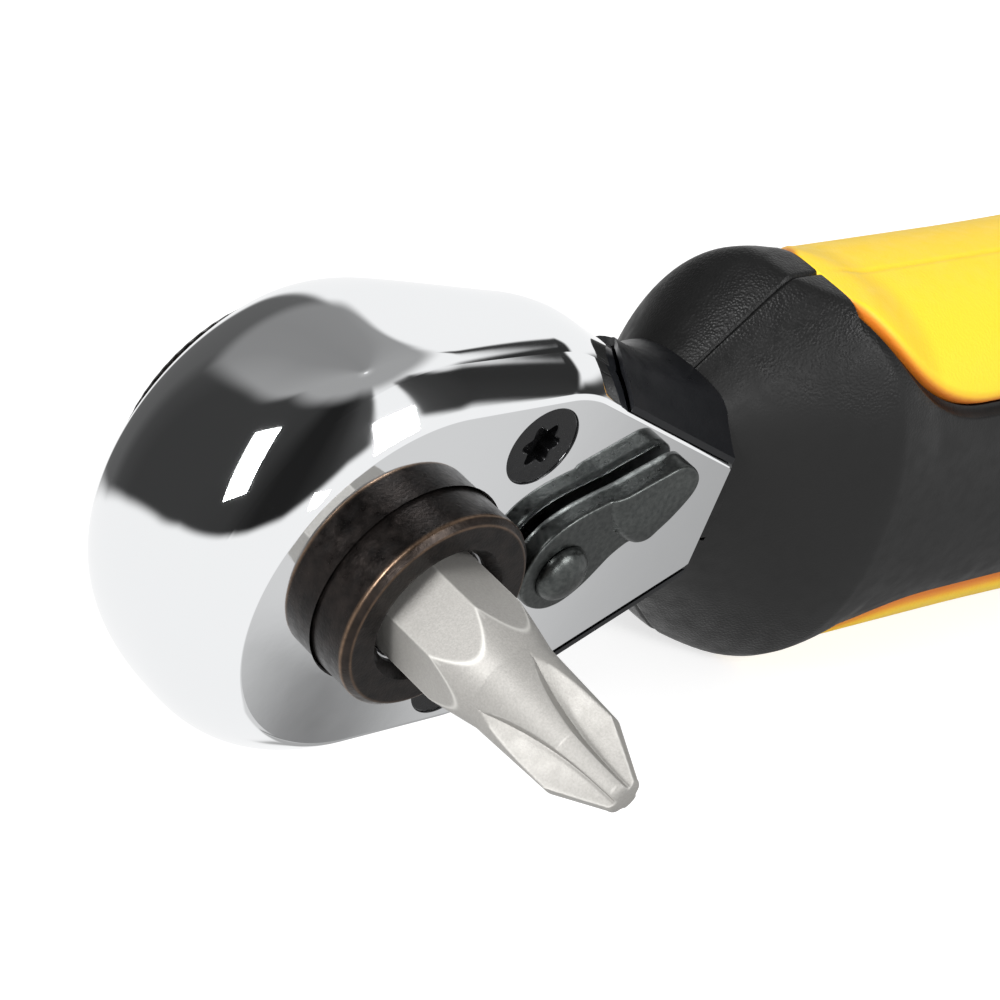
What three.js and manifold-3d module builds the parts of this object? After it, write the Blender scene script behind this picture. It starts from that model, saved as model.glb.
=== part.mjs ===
// Mini ratchet bit driver, in millimetres, lying on its side with +Z up.
// The bit points along -Y and the handle runs along +X. The origin is the centre of the bit's blunt tip.
// Inside the `tool` group the plane y = 0 is the flat face of the head and +Y goes back into the head.
import * as THREE from 'three';
import { mergeVertices } from 'three/addons/utils/BufferGeometryUtils.js';
import Module from 'manifold-3d';

const wasm = await Module();
wasm.setup();

const { degToRad, lerp, smoothstep } = THREE.MathUtils;

// Clearances
const RUNNING_GAP = 0.1; // between a turning or sliding piece and its bore
const SEAT_GAP = 0.05; // between faces that are clamped, riveted or pressed together
const END_GAP = 0.15; // along the axis, beside a washer, clip or pawl
const MOULD_GAP = 0.3; // between moulded pieces and what they enclose
const ROUND_SEGMENTS = 40;
const FAR = 200; // past the whole tool

// Screwdriver bit, a quarter inch hex shank with a four wing point
const HEX_FLATS = 6.35;
const HEX_CORNER_ANGLE = 53.8; // degrees about the bit axis, from +X towards +Z
const BIT_LENGTH = 25;
const BIT_SEAT = 5.9; // depth of the shank's end behind the face
const SHANK_CHAMFER = 0.8;
const HEX_LENGTH = 11.8; // full hexagon, from the shank's end
const BIT_TAPER_LENGTH = 3.6; // cone from the hexagon's corners to the neck
const BIT_NECK_RADIUS = 2.95;
const WING_RADIUS = 2.7;
const POINT_LENGTH = 3.7; // cone from the wings to the blunt tip
const TIP_RADIUS = 0.95;
const FLUTE_LENGTH = 7.8;
const FLUTE_ROOT_AT_TIP = 0.65; // distance of a flute's root from the axis at the tip
const FLUTE_RUNOUT_POWER = 3;

// Bit holder and ratchet gear, one turned spindle
const HOLDER_RADIUS = 6.55;
const HOLDER_REACH = 2.95; // how far the holder stands out of the face
const HOLDER_CHAMFER = 0.4;
const SOCKET_GAP = 0.08; // between the hexagon of the bit and of the socket
const SOCKET_MOUTH_RADIUS = 4.5;
const SOCKET_MOUTH_DEPTH = 0.9;
const GEAR_TEETH = 36;
const GEAR_STEP = 0.4; // from the holder's radius out to the roots of the teeth
const TOOTH_HEIGHT = 0.65;
const GEAR_THICKNESS = 5.5;
const GEAR_CAVITY_GAP = 0.4;
const JOURNAL_RADIUS = 5;

// Spring clip that holds the bit, and the seal round the holder
const CLIP_WIRE_RADIUS = 0.35;
const CLIP_DEPTH = 1.4; // behind the holder's front
const CLIP_OPENING = 60; // degrees
const SEAL_WIRE_RADIUS = 0.4;
const SEAL_DEPTH = 1.1; // behind the face

// Washer behind the gear and finger disc on the spindle's back end
const WASHER_THICKNESS = 0.6;
const DISC_RADIUS = 8.7;
const DISC_THICKNESS = 1.8;
const DISC_GAP = 0.25;
const DISC_CHAMFER = 0.4;

// Countersunk screws with a six lobe recess
const SCREW_HEAD_RADIUS = 2.6;
const SCREW_HEAD_DEPTH = 1.4;
const SCREW_RADIUS = 1.4;
const SCREW_LENGTH = 7;
const SCREW_SINK = 0.1; // head below the surface round it
const LOBE_RADIUS = 1.15;
const LOBE_SWING = 0.22;
const LOBE_DEPTH = 1;

// Head: a drop outline round the spindle that bulges behind its flat face
const HEAD_WALL = 3.5; // outside the gear cavity, measured on the face
const SHOULDER_X = 9.4; // where the parallel sides turn into the taper
const SHOULDER_RADIUS = 7;
const TAIL_END_X = 25.3;
const TAIL_HALF_WIDTH = 3.75;
const NECK_END_X = 27;
const COVER_THICKNESS = 2.2;
const BACK_WALL = 5.1;
const BULGE = 2.95;
const NECK_BULGE = 1.7;
const BULGE_FADE_START_X = -4;
const BULGE_FADE_END_X = 22;
const BULGE_FRONT_POWER = 2.6;
const BULGE_BACK_POWER = 2.4;
const EQUATOR_DEPTH = 6.2; // where the bulge is widest
const BACK_INSET = 2; // of the back face, from the outline of the front face
const SIDE_FLAT_LAND = 2.5; // how far the flats on both sides lie outside the face outline
const AXIS_DEPTH = 4.6; // handle axis behind the face
const NECK_DEPTH = 9.2;
const NECK_BLEND_START_X = -6;
const NECK_BLEND_END_X = 14;
const SCREW_EDGE = 3.15; // from the face's side edge to a cover screw
const SCREW_BEFORE_SHOULDER = 2.56;
const TANG_HALF_HEIGHT = 4.5;
const TANG_HALF_DEPTH = 2.3;
const TANG_END_X = 64;

// Reversing lever, its riveted shaft and the clip that keeps the shaft in
const LEVER_ANGLE = 30; // degrees each side of the handle's direction
const LEVER_LIFT = 0.35;
const LEVER_THICKNESS = 1.4;
const PAD_RAISE = 0.35;
const LEVER_END_RADIUS = 3.05;
const LEVER_END_RISE = 0.3;
const ARM_UPPER_EDGE = 2.95; // edges of the arm where the pad starts, from the line through the pivot
const ARM_LOWER_EDGE = 1.6;
const PAD_START_X = 4.4;
const PAD_BULB_X = 5.6;
const PAD_BULB_EDGE = 1.72;
const PAD_SLANT_X = 7.9;
const PAD_SLANT_EDGE = 1.1;
const PAD_TIP_RADIUS = 1.25;
const PAD_TIP_RISE = 0.95;
const LEVER_LENGTH = 10.25; // from the pivot to the end of the pad
const SHAFT_RADIUS = 1.9;
const RIVET_RADIUS = 1.4;
const RIVET_HEAD_RADIUS = 2.05;
const RIVET_HEAD_HEIGHT = 0.75;
const PILOT_RADIUS = 1.3;
const PILOT_LENGTH = 2.3;
const SHAFT_CLIP_THICKNESS = 0.5;
const SHAFT_CLIP_WIDTH = 1.1;
const SHAFT_GROOVE_DEPTH = 0.4;

// Pawl, which rocks on the lever's shaft, and the sprung plunger that throws it over
const PAWL_THICKNESS = 3.8;
const PAWL_HUB_WALL = 0.9;
const PAWL_GEAR_GAP = 0.2; // between the hub and the tips of the gear's teeth
const PAWL_ROCK = 8; // degrees each side of its middle
const NOSE_ANGLE = 30; // degrees about the gear, from the line between gear and pawl
const NOSE_ROOT_GAP = 0.15;
const NOSE_HALF_ANGLE = 3.2; // degrees about the gear, at the tips of the teeth
const NOSE_BACK_LENGTH = 1;
const TAIL_WALL_X = 3.2; // from the pivot to the wall that the plunger presses
const TAIL_WALL = 0.75;
const PLUNGER_RADIUS = 0.55;
const PLUNGER_LENGTH = 2.45;
const SPRING_TURNS = 5;
const SPRING_WIRE_RADIUS = 0.11;
const SPRING_RADIUS = 0.38;
const SPRING_LENGTH = 1.7;

// Nose collar, handle and the two soft grip inlays
const COLLAR_START_X = 16;
const COLLAR_END_X = 24.8;
const COLLAR_WALL = 0.4;
const COLLAR_GAP = 0.15; // between the collar and the neck inside it
const FLARE_START_X = 23.2;
const FLARE_FULL_X = 32;
const FLARE_POWER = 8; // higher is a straighter flare with a tighter rim
const FRONT_SLANT = 0.5; // how far back the flare leans for each millimetre towards the face side
const BACK_SLANT = 0.25; // how far forward it leans for each millimetre towards the back
const UPWARD_LEAN = 0.09; // how far forward it leans for each millimetre upwards
const SLANT_END_X = 43;
const FLARE_ROOT_HALF_HEIGHT = 6.6;
const FLARE_ROOT_HALF_DEPTH = 4.2;
const FLARE_HALF_HEIGHT = 14.4;
const GRIP_HALF_HEIGHT = 13.3;
const GRIP_HALF_DEPTH = 9.5;
const GRIP_SETTLE_X = 38; // where the flare has come down to the grip's height
const SWELL_X = 82;
const SWELL_HALF_HEIGHT = 14.2;
const BUTT_LENGTH = 12;
const HANDLE_END_X = 98;
const HANDLE_SQUARENESS = 2.3; // power of the section's superellipse
const INLAY_START_X = 33.5;
const INLAY_SWEEP_LENGTH = 11.8;
const INLAY_EDGE_HEIGHT = 8.1;
const INLAY_END_X = 89;
const INLAY_DEPTH = 1.8;
const INLAY_PROUD = 0.2;

// Sizes and places that follow from the ones above
const hexCorner = HEX_FLATS / Math.sqrt(3);
const bitReach = BIT_LENGTH - BIT_SEAT;
const gearRoot = HOLDER_RADIUS + GEAR_STEP;
const gearTip = gearRoot + TOOTH_HEIGHT;
const gearCavity = gearTip + GEAR_CAVITY_GAP;
const gearFront = COVER_THICKNESS + 2 * END_GAP;
const gearBack = gearFront + GEAR_THICKNESS;
const washerFront = gearBack + END_GAP;
const gearFloor = washerFront + WASHER_THICKNESS + END_GAP;
const headDepth = gearFloor + BACK_WALL;
const spindleBack = headDepth + DISC_GAP - SEAT_GAP;
const discFront = headDepth + DISC_GAP;
const discBack = discFront + DISC_THICKNESS;
const faceHalfWidth = gearCavity + HEAD_WALL;
const sideFlat = faceHalfWidth + SIDE_FLAT_LAND;
const taperAngle = Math.atan2(faceHalfWidth - TAIL_HALF_WIDTH, TAIL_END_X - SHOULDER_X);
const screwX = SHOULDER_X - SCREW_BEFORE_SHOULDER;
const screwZ = faceHalfWidth - SCREW_EDGE;
const hubRadius = SHAFT_RADIUS + RUNNING_GAP + PAWL_HUB_WALL;
const pivotX = gearTip + PAWL_GEAR_GAP + hubRadius;
const shaftClipFront = COVER_THICKNESS + END_GAP;
const pawlFront = shaftClipFront + SHAFT_CLIP_THICKNESS + END_GAP;
const pawlBack = pawlFront + PAWL_THICKNESS;
const pawlFloor = pawlBack + END_GAP;
const plungerDepth = (pawlFront + pawlBack) / 2;
const plungerTip = TAIL_WALL_X - END_GAP;
const plungerTail = plungerTip - PLUNGER_LENGTH;
const throwAngle = degToRad(LEVER_ANGLE + PAWL_ROCK);
const windowHalfWidth = TAIL_WALL_X * Math.tan(throwAngle) + PLUNGER_RADIUS + END_GAP;
const tailHalfWidth = windowHalfWidth + TAIL_WALL;
const tailBackX = TAIL_WALL_X + TAIL_WALL;
const noseBackRadius = gearTip + END_GAP + NOSE_BACK_LENGTH;

// Solid helpers

// Turns a closed three.js geometry into a solid, with its faces pointing out.
function solid(geometry) {
  geometry.deleteAttribute('normal');
  geometry.deleteAttribute('uv');
  const merged = mergeVertices(geometry, 1e-4);
  const points = merged.attributes.position;
  const corners = [new THREE.Vector3(), new THREE.Vector3(), new THREE.Vector3()];
  const triangles = [];
  let volume = 0;
  for (let i = 0; i < merged.index.count; i += 3) {
    const triangle = [0, 1, 2].map((k) => merged.index.getX(i + k));
    if (new Set(triangle).size < 3) continue;
    triangle.forEach((vertex, k) => corners[k].fromBufferAttribute(points, vertex));
    volume += corners[0].dot(corners[1].cross(corners[2]));
    triangles.push(triangle);
  }
  if (volume < 0) triangles.forEach((triangle) => triangle.reverse());
  const mesh = new wasm.Mesh({
    numProp: 3,
    vertProperties: Float32Array.from(points.array),
    triVerts: Uint32Array.from(triangles.flat()),
  });
  return new wasm.Manifold(mesh);
}

function geometryOf(manifold) {
  const mesh = manifold.getMesh();
  const geometry = new THREE.BufferGeometry();
  geometry.setAttribute('position', new THREE.BufferAttribute(Float32Array.from(mesh.vertProperties), 3));
  geometry.setIndex(Array.from(mesh.triVerts));
  geometry.computeVertexNormals();
  return geometry;
}

// A profile of [radius, y] pairs turned about the Y axis.
function turned(profile, segments = ROUND_SEGMENTS) {
  return new THREE.LatheGeometry(profile.map(([r, y]) => new THREE.Vector2(r, y)), segments);
}

function cylinder(radius, near, far) {
  return turned([[0, near], [radius, near], [radius, far], [0, far]]);
}

// A ring of round wire about the Y axis, or an open ring if its sweep is less than a full turn.
function wireRing(radius, wireRadius, y, sweep = 360) {
  if (sweep === 360) {
    return new THREE.TorusGeometry(radius, wireRadius, 8, 32).rotateX(Math.PI / 2).translate(0, y, 0);
  }
  const wire = new THREE.Shape(arcPoints(0, 0, wireRadius, 0, 315, 7));
  const along = arcPoints(0, 0, radius, 0, sweep, 24).map((p) => new THREE.Vector3(p.x, y, p.y));
  return new THREE.ExtrudeGeometry(wire, { steps: 30, extrudePath: new THREE.CatmullRomCurve3(along) });
}

// An outline in the XZ plane, given a thickness from y = near to y = far.
function plate(shape, near, far, curveSegments = 8) {
  const options = { depth: far - near, bevelEnabled: false, curveSegments };
  const geometry = new THREE.ExtrudeGeometry(shape, options);
  return geometry.rotateX(Math.PI / 2).translate(0, far, 0);
}

function block(x0, x1, y0, y1, z0, z1) {
  const geometry = new THREE.BoxGeometry(x1 - x0, y1 - y0, z1 - z0);
  return geometry.translate((x0 + x1) / 2, (y0 + y1) / 2, (z0 + z1) / 2);
}

// Joins rings of equally many points into a skin, with a fan of triangles over each end.
function loft(rings) {
  const count = rings[0].length;
  const points = rings.flat();
  const index = [];
  for (let k = 0; k < rings.length - 1; k += 1) {
    for (let i = 0; i < count; i += 1) {
      const a = k * count + i;
      const b = k * count + ((i + 1) % count);
      index.push(a, b, a + count, b, b + count, a + count);
    }
  }
  for (const first of [0, (rings.length - 1) * count]) {
    const ring = points.slice(first, first + count);
    const middle = ring.reduce((sum, p) => sum.add(p), new THREE.Vector3()).divideScalar(count);
    const hub = points.push(middle) - 1;
    for (let i = 0; i < count; i += 1) {
      const a = first + i;
      const b = first + ((i + 1) % count);
      index.push(...(first === 0 ? [b, a, hub] : [a, b, hub]));
    }
  }
  const geometry = new THREE.BufferGeometry();
  geometry.setAttribute('position', new THREE.Float32BufferAttribute(points.flatMap((p) => p.toArray()), 3));
  return geometry.setIndex(index);
}

function arcPoints(x, z, radius, from, to, steps) {
  return Array.from({ length: steps + 1 }, (_, i) => {
    const angle = degToRad(lerp(from, to, i / steps));
    return new THREE.Vector2(x + radius * Math.cos(angle), z + radius * Math.sin(angle));
  });
}

function polar(radius, degrees) {
  return new THREE.Vector2(radius * Math.cos(degToRad(degrees)), radius * Math.sin(degToRad(degrees)));
}

function hexagon(flats) {
  const radius = flats / Math.sqrt(3);
  return new THREE.Shape([0, 1, 2, 3, 4, 5].map((k) => polar(radius, HEX_CORNER_ANGLE + 60 * k)));
}

// Bit

// A flute is a right angled V whose root curves out of the neck towards the shank.
function flute(degrees) {
  const reach = BIT_NECK_RADIUS + 1;
  const rings = [-0.2, 0.25, 0.5, 0.65, 0.8, 0.9, 1, 1.1].map((share) => {
    const rise = Math.max(0, share) ** FLUTE_RUNOUT_POWER;
    const root = lerp(FLUTE_ROOT_AT_TIP, BIT_NECK_RADIUS, rise);
    const y = share * FLUTE_LENGTH - bitReach;
    const corners = [[root, 0], [root + reach, reach], [root + reach, -reach]];
    return corners.map(([u, v]) => new THREE.Vector3(u, y, v));
  });
  return loft(rings).rotateY(-degToRad(degrees));
}

function bit() {
  const back = BIT_SEAT;
  const taperStart = back - HEX_LENGTH;
  const taperEnd = taperStart - BIT_TAPER_LENGTH;
  const envelope = turned([
    [0, -bitReach],
    [TIP_RADIUS, -bitReach],
    [WING_RADIUS, -bitReach + POINT_LENGTH],
    [BIT_NECK_RADIUS, taperEnd],
    [hexCorner + SEAT_GAP, taperStart],
    [hexCorner + SEAT_GAP, back - SHANK_CHAMFER],
    [hexCorner - SHANK_CHAMFER, back],
    [0, back],
  ], 48);
  let body = solid(envelope).intersect(solid(plate(hexagon(HEX_FLATS), -bitReach - 1, back + 1)));
  for (let k = 0; k < 4; k += 1) {
    body = body.subtract(solid(flute(HEX_CORNER_ANGLE + 45 + 90 * k)));
  }
  return body;
}

// Spindle, its clip, seal, washer, finger disc and screw

function gearOutline() {
  const pitch = 360 / GEAR_TEETH;
  const points = [];
  for (let k = 0; k < GEAR_TEETH; k += 1) {
    const space = k * pitch;
    points.push(polar(gearRoot, space - 0.12 * pitch), polar(gearRoot, space + 0.12 * pitch));
    points.push(polar(gearTip, space + 0.41 * pitch), polar(gearTip, space + 0.59 * pitch));
  }
  return new THREE.Shape(points);
}

function driveSpindle() {
  const front = -HOLDER_REACH;
  const mouthEnd = front + SOCKET_MOUTH_DEPTH;
  const clipY = front + CLIP_DEPTH;
  const clipHalf = CLIP_WIRE_RADIUS + RUNNING_GAP;
  const sealHalf = SEAL_WIRE_RADIUS + RUNNING_GAP;
  const sealRoot = HOLDER_RADIUS - 2 * SEAL_WIRE_RADIUS - SEAT_GAP;
  const body = solid(turned([
    [0, front],
    [HOLDER_RADIUS - HOLDER_CHAMFER, front],
    [HOLDER_RADIUS, front + HOLDER_CHAMFER],
    [HOLDER_RADIUS, SEAL_DEPTH - sealHalf],
    [sealRoot, SEAL_DEPTH - sealHalf],
    [sealRoot, SEAL_DEPTH + sealHalf],
    [HOLDER_RADIUS, SEAL_DEPTH + sealHalf],
    [HOLDER_RADIUS, gearBack],
    [JOURNAL_RADIUS, gearBack],
    [JOURNAL_RADIUS, spindleBack],
    [0, spindleBack],
  ]));
  const mouth = turned([
    [0, front - 1],
    [SOCKET_MOUTH_RADIUS, front - 1],
    [SOCKET_MOUTH_RADIUS, front],
    [hexCorner + SOCKET_GAP, mouthEnd],
    [0, mouthEnd],
  ]);
  const clipGroove = cylinder(hexCorner + 2 * clipHalf + END_GAP, clipY - clipHalf, clipY + clipHalf);
  const socket = plate(hexagon(HEX_FLATS + 2 * SOCKET_GAP), front - 1, BIT_SEAT + END_GAP);
  const screwHole = cylinder(SCREW_RADIUS + RUNNING_GAP, discBack - SCREW_LENGTH - END_GAP, spindleBack + 1);
  return body
    .add(solid(plate(gearOutline(), gearFront, gearBack)))
    .subtract(solid(mouth))
    .subtract(solid(clipGroove))
    .subtract(solid(socket))
    .subtract(solid(screwHole));
}

function bitClip() {
  const radius = hexCorner + SEAT_GAP + CLIP_WIRE_RADIUS;
  return solid(wireRing(radius, CLIP_WIRE_RADIUS, CLIP_DEPTH - HOLDER_REACH, 360 - CLIP_OPENING));
}

function frontSeal() {
  return solid(wireRing(HOLDER_RADIUS - SEAL_WIRE_RADIUS, SEAL_WIRE_RADIUS, SEAL_DEPTH));
}

function thrustWasher() {
  const inner = JOURNAL_RADIUS + RUNNING_GAP;
  const outer = gearRoot;
  const back = washerFront + WASHER_THICKNESS;
  return solid(turned([
    [inner, washerFront],
    [outer, washerFront],
    [outer, back],
    [inner, back],
    [inner, washerFront],
  ]));
}

// The countersink that a screw's head sits in, with its hole, from the surface at y = 0 to y = length.
function screwHole(length, gap) {
  const head = SCREW_HEAD_RADIUS + gap;
  return turned([
    [0, -1],
    [head, -1],
    [head, SCREW_SINK],
    [SCREW_RADIUS + gap, SCREW_SINK + SCREW_HEAD_DEPTH],
    [SCREW_RADIUS + gap, length],
    [0, length],
  ]);
}

// A countersunk screw whose head faces -Y, flush with the surface at y = 0.
function screw() {
  const lobes = Array.from({ length: 48 }, (_, i) => {
    return polar(LOBE_RADIUS + LOBE_SWING * Math.cos(degToRad(45 * i)), 7.5 * i);
  });
  const body = turned([
    [0, SCREW_SINK],
    [SCREW_HEAD_RADIUS, SCREW_SINK],
    [SCREW_RADIUS, SCREW_SINK + SCREW_HEAD_DEPTH],
    [SCREW_RADIUS, SCREW_LENGTH],
    [0, SCREW_LENGTH],
  ], 32);
  const recess = plate(new THREE.Shape(lobes), -1, SCREW_SINK + LOBE_DEPTH);
  return solid(body).subtract(solid(recess));
}

function spinDisc() {
  const edge = DISC_RADIUS - DISC_CHAMFER;
  const disc = turned([
    [0, discFront],
    [edge, discFront],
    [DISC_RADIUS, discFront + DISC_CHAMFER],
    [DISC_RADIUS, discBack - DISC_CHAMFER],
    [edge, discBack],
    [0, discBack],
  ], 56);
  const hole = screwHole(DISC_THICKNESS + 1, RUNNING_GAP).rotateX(Math.PI).translate(0, discBack, 0);
  return solid(disc).subtract(solid(hole));
}

// Head

// How far the head's side stands outside the face outline at a depth behind the face.
function bulgeAt(depth, x) {
  const most = lerp(BULGE, NECK_BULGE, smoothstep(x, BULGE_FADE_START_X, BULGE_FADE_END_X));
  if (depth <= EQUATOR_DEPTH) return most * (1 - (1 - depth / EQUATOR_DEPTH) ** BULGE_FRONT_POWER);
  const behind = (depth - EQUATOR_DEPTH) / (headDepth - EQUATOR_DEPTH);
  const round = (1 - behind ** BULGE_BACK_POWER) ** (1 / BULGE_BACK_POWER);
  return lerp(-BACK_INSET, most, round);
}

// The face outline as points with their outward directions: nose arc, rounded shoulders and taper.
function dropOutline() {
  const tangent = SHOULDER_RADIUS * Math.tan(taperAngle / 2);
  const taper = 270 + THREE.MathUtils.radToDeg(taperAngle);
  const arcCentre = new THREE.Vector2(SHOULDER_X - tangent, SHOULDER_RADIUS - faceHalfWidth);
  const away = (centre) => (point) => ({ point, normal: point.clone().sub(centre).normalize() });
  const nose = arcPoints(0, 0, faceHalfWidth, 90, 270, 28).map(away(new THREE.Vector2()));
  const shoulder = arcPoints(arcCentre.x, arcCentre.y, SHOULDER_RADIUS, 270, taper, 4).map(away(arcCentre));
  const tailZ = faceHalfWidth - (NECK_END_X - SHOULDER_X) * Math.tan(taperAngle);
  const taperStart = shoulder.at(-1).point;
  const tailEnd = new THREE.Vector2(NECK_END_X, -tailZ);
  const tail = [0.25, 0.5, 0.75, 1].map((share) => ({
    point: taperStart.clone().lerp(tailEnd, share),
    normal: polar(1, taper),
  }));
  const lower = [...shoulder, ...tail];
  const mirrored = ({ point, normal }) => ({
    point: new THREE.Vector2(point.x, -point.y),
    normal: new THREE.Vector2(normal.x, -normal.y),
  });
  return [...nose, ...lower, ...lower.map(mirrored).reverse()];
}

function backDepthAt(x) {
  return lerp(headDepth, NECK_DEPTH, smoothstep(x, NECK_BLEND_START_X, NECK_BLEND_END_X));
}

// The whole outside of the head, grown by an even gap. The flats on both sides are cut level.
function headBlank(grow = 0) {
  const outline = dropOutline();
  const ring = (depth) => outline.map(({ point, normal }) => {
    const offset = bulgeAt(depth, point.x) + grow;
    const x = point.x + normal.x * offset;
    const z = point.y + normal.y * offset;
    const behindCover = Math.max(0, depth - COVER_THICKNESS) / (headDepth - COVER_THICKNESS);
    const y = Math.min(depth, COVER_THICKNESS) + behindCover * (backDepthAt(x) - COVER_THICKNESS + grow);
    return new THREE.Vector3(x, y, z);
  });
  const front = [0, 0.17, 0.36, 0.6, 0.8].map((share) => share * EQUATOR_DEPTH);
  const behind = [0, 20, 38, 54, 68, 80, 90].map((a) => {
    return lerp(EQUATOR_DEPTH, headDepth, Math.sin(degToRad(a)));
  });
  const rings = [...front, ...behind].map(ring);
  const back = rings.at(-1);
  for (const share of [0.75, 0.45, 0.2]) {
    rings.push(back.map((p) => new THREE.Vector3(p.x * share, backDepthAt(p.x * share) + grow, p.z * share)));
  }
  if (grow > 0) rings.unshift(rings[0].map((p) => p.clone().setY(-grow)));
  const reach = NECK_END_X + 2 * sideFlat;
  const flats = block(-reach, reach, -reach, reach, -sideFlat - grow, sideFlat + grow);
  return solid(loft(rings)).intersect(solid(flats));
}

// Space that reaches past the head on every side, between two stations along X and two depths.
function headSpan(x0, x1, y0, y1) {
  const reach = 2 * sideFlat;
  return solid(block(x0, x1, y0, y1, -reach, reach));
}

function pawlCavityRadius() {
  const corner = polar(noseBackRadius, NOSE_ANGLE + NOSE_HALF_ANGLE);
  const noseBack = corner.sub(new THREE.Vector2(pivotX, 0)).length();
  return Math.max(noseBack, Math.hypot(tailBackX, tailHalfWidth)) + MOULD_GAP;
}

function coverScrewPlaces() {
  return [[screwX, screwZ], [screwX, -screwZ]];
}

function tang(grow = 0) {
  return solid(block(
    TAIL_END_X - grow, TANG_END_X + grow,
    AXIS_DEPTH - TANG_HALF_DEPTH - grow, AXIS_DEPTH + TANG_HALF_DEPTH + grow,
    -TANG_HALF_HEIGHT - grow, TANG_HALF_HEIGHT + grow,
  ));
}

function headBody() {
  const front = COVER_THICKNESS + SEAT_GAP;
  let body = headBlank().intersect(headSpan(-FAR, FAR, front, FAR)).add(tang());
  const pilotEnd = pawlFloor + PILOT_LENGTH + END_GAP;
  const cuts = [
    cylinder(gearCavity, front - 1, gearFloor),
    cylinder(JOURNAL_RADIUS + RUNNING_GAP, gearFloor - 1, headDepth + 1),
    cylinder(pawlCavityRadius(), front - 1, pawlFloor).translate(pivotX, 0, 0),
    cylinder(PILOT_RADIUS + RUNNING_GAP, pawlFloor - 1, pilotEnd).translate(pivotX, 0, 0),
    ...coverScrewPlaces().map(([x, z]) => screwHole(SCREW_LENGTH + END_GAP, RUNNING_GAP).translate(x, 0, z)),
  ];
  for (const cut of cuts) body = body.subtract(solid(cut));
  return body;
}

function coverPlate() {
  let cover = headBlank().intersect(headSpan(-FAR, TAIL_END_X, -1, COVER_THICKNESS));
  const cuts = [
    cylinder(HOLDER_RADIUS + RUNNING_GAP, -1, COVER_THICKNESS + 1),
    cylinder(SHAFT_RADIUS + RUNNING_GAP, -1, COVER_THICKNESS + 1).translate(pivotX, 0, 0),
    ...coverScrewPlaces().map(([x, z]) => screwHole(COVER_THICKNESS + 1, RUNNING_GAP).translate(x, 0, z)),
  ];
  for (const cut of cuts) cover = cover.subtract(solid(cut));
  return cover;
}

// Lever, with its pivot at the local origin and its pad towards +X

function leverOutline() {
  return new THREE.Shape([
    ...arcPoints(0, LEVER_END_RISE, LEVER_END_RADIUS, 85, 265, 14),
    new THREE.Vector2(PAD_START_X, -ARM_LOWER_EDGE),
    new THREE.Vector2(PAD_BULB_X, -PAD_BULB_EDGE),
    new THREE.Vector2(PAD_SLANT_X, -PAD_SLANT_EDGE),
    ...arcPoints(LEVER_LENGTH - PAD_TIP_RADIUS, PAD_TIP_RISE, PAD_TIP_RADIUS, -60, 85, 8),
    new THREE.Vector2(PAD_START_X, ARM_UPPER_EDGE),
  ]);
}

function reverserLever() {
  const under = -LEVER_LIFT;
  const top = under - LEVER_THICKNESS;
  const arm = solid(plate(leverOutline(), top, under));
  const padSpan = block(PAD_START_X, 2 * LEVER_LENGTH, top - 1, under + 1, -LEVER_LENGTH, LEVER_LENGTH);
  const pad = solid(plate(leverOutline(), top - PAD_RAISE, under)).intersect(solid(padSpan));
  return arm.add(pad).subtract(solid(cylinder(RIVET_RADIUS + SEAT_GAP, top - 1, under + 1)));
}

function leverShaft() {
  const shoulder = -LEVER_LIFT + SEAT_GAP;
  const rivetSeat = -LEVER_LIFT - LEVER_THICKNESS - SEAT_GAP;
  const groove = SHAFT_RADIUS - SHAFT_GROOVE_DEPTH;
  const clipBack = shaftClipFront + SHAFT_CLIP_THICKNESS;
  const dome = [0, 1, 2, 3].map((i) => {
    const angle = degToRad(90 - 30 * i);
    return [RIVET_HEAD_RADIUS * Math.cos(angle), rivetSeat - RIVET_HEAD_HEIGHT * Math.sin(angle)];
  });
  dome[0][0] = 0;
  const body = turned([
    ...dome,
    [RIVET_RADIUS, rivetSeat],
    [RIVET_RADIUS, shoulder],
    [SHAFT_RADIUS, shoulder],
    [SHAFT_RADIUS, shaftClipFront - SEAT_GAP],
    [groove, shaftClipFront - SEAT_GAP],
    [groove, clipBack + SEAT_GAP],
    [SHAFT_RADIUS, clipBack + SEAT_GAP],
    [SHAFT_RADIUS, pawlBack],
    [PILOT_RADIUS, pawlBack],
    [PILOT_RADIUS, pawlFloor + PILOT_LENGTH],
    [0, pawlFloor + PILOT_LENGTH],
  ], 32);
  const bore = cylinder(PLUNGER_RADIUS + RUNNING_GAP, springFoot() - END_GAP, 2 * SHAFT_RADIUS);
  return solid(body).subtract(solid(alongLever(bore)));
}

// Turns a piece modelled along +Y so that it lies along the lever, at the plunger's depth.
function alongLever(geometry) {
  return geometry.rotateZ(-Math.PI / 2).translate(0, plungerDepth, 0);
}

function springFoot() {
  return plungerTail - END_GAP - SPRING_LENGTH;
}

function leverClip() {
  const inner = SHAFT_RADIUS - SHAFT_GROOVE_DEPTH + SEAT_GAP;
  const outer = inner + SHAFT_CLIP_WIDTH;
  const outside = arcPoints(0, 0, outer, 130, 410, 24);
  const inside = arcPoints(0, 0, inner, 130, 410, 24).reverse();
  const ring = new THREE.Shape([...outside, ...inside]);
  return solid(plate(ring, shaftClipFront, shaftClipFront + SHAFT_CLIP_THICKNESS));
}

// Pawl, modelled in its middle position with the pivot at the local origin

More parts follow.
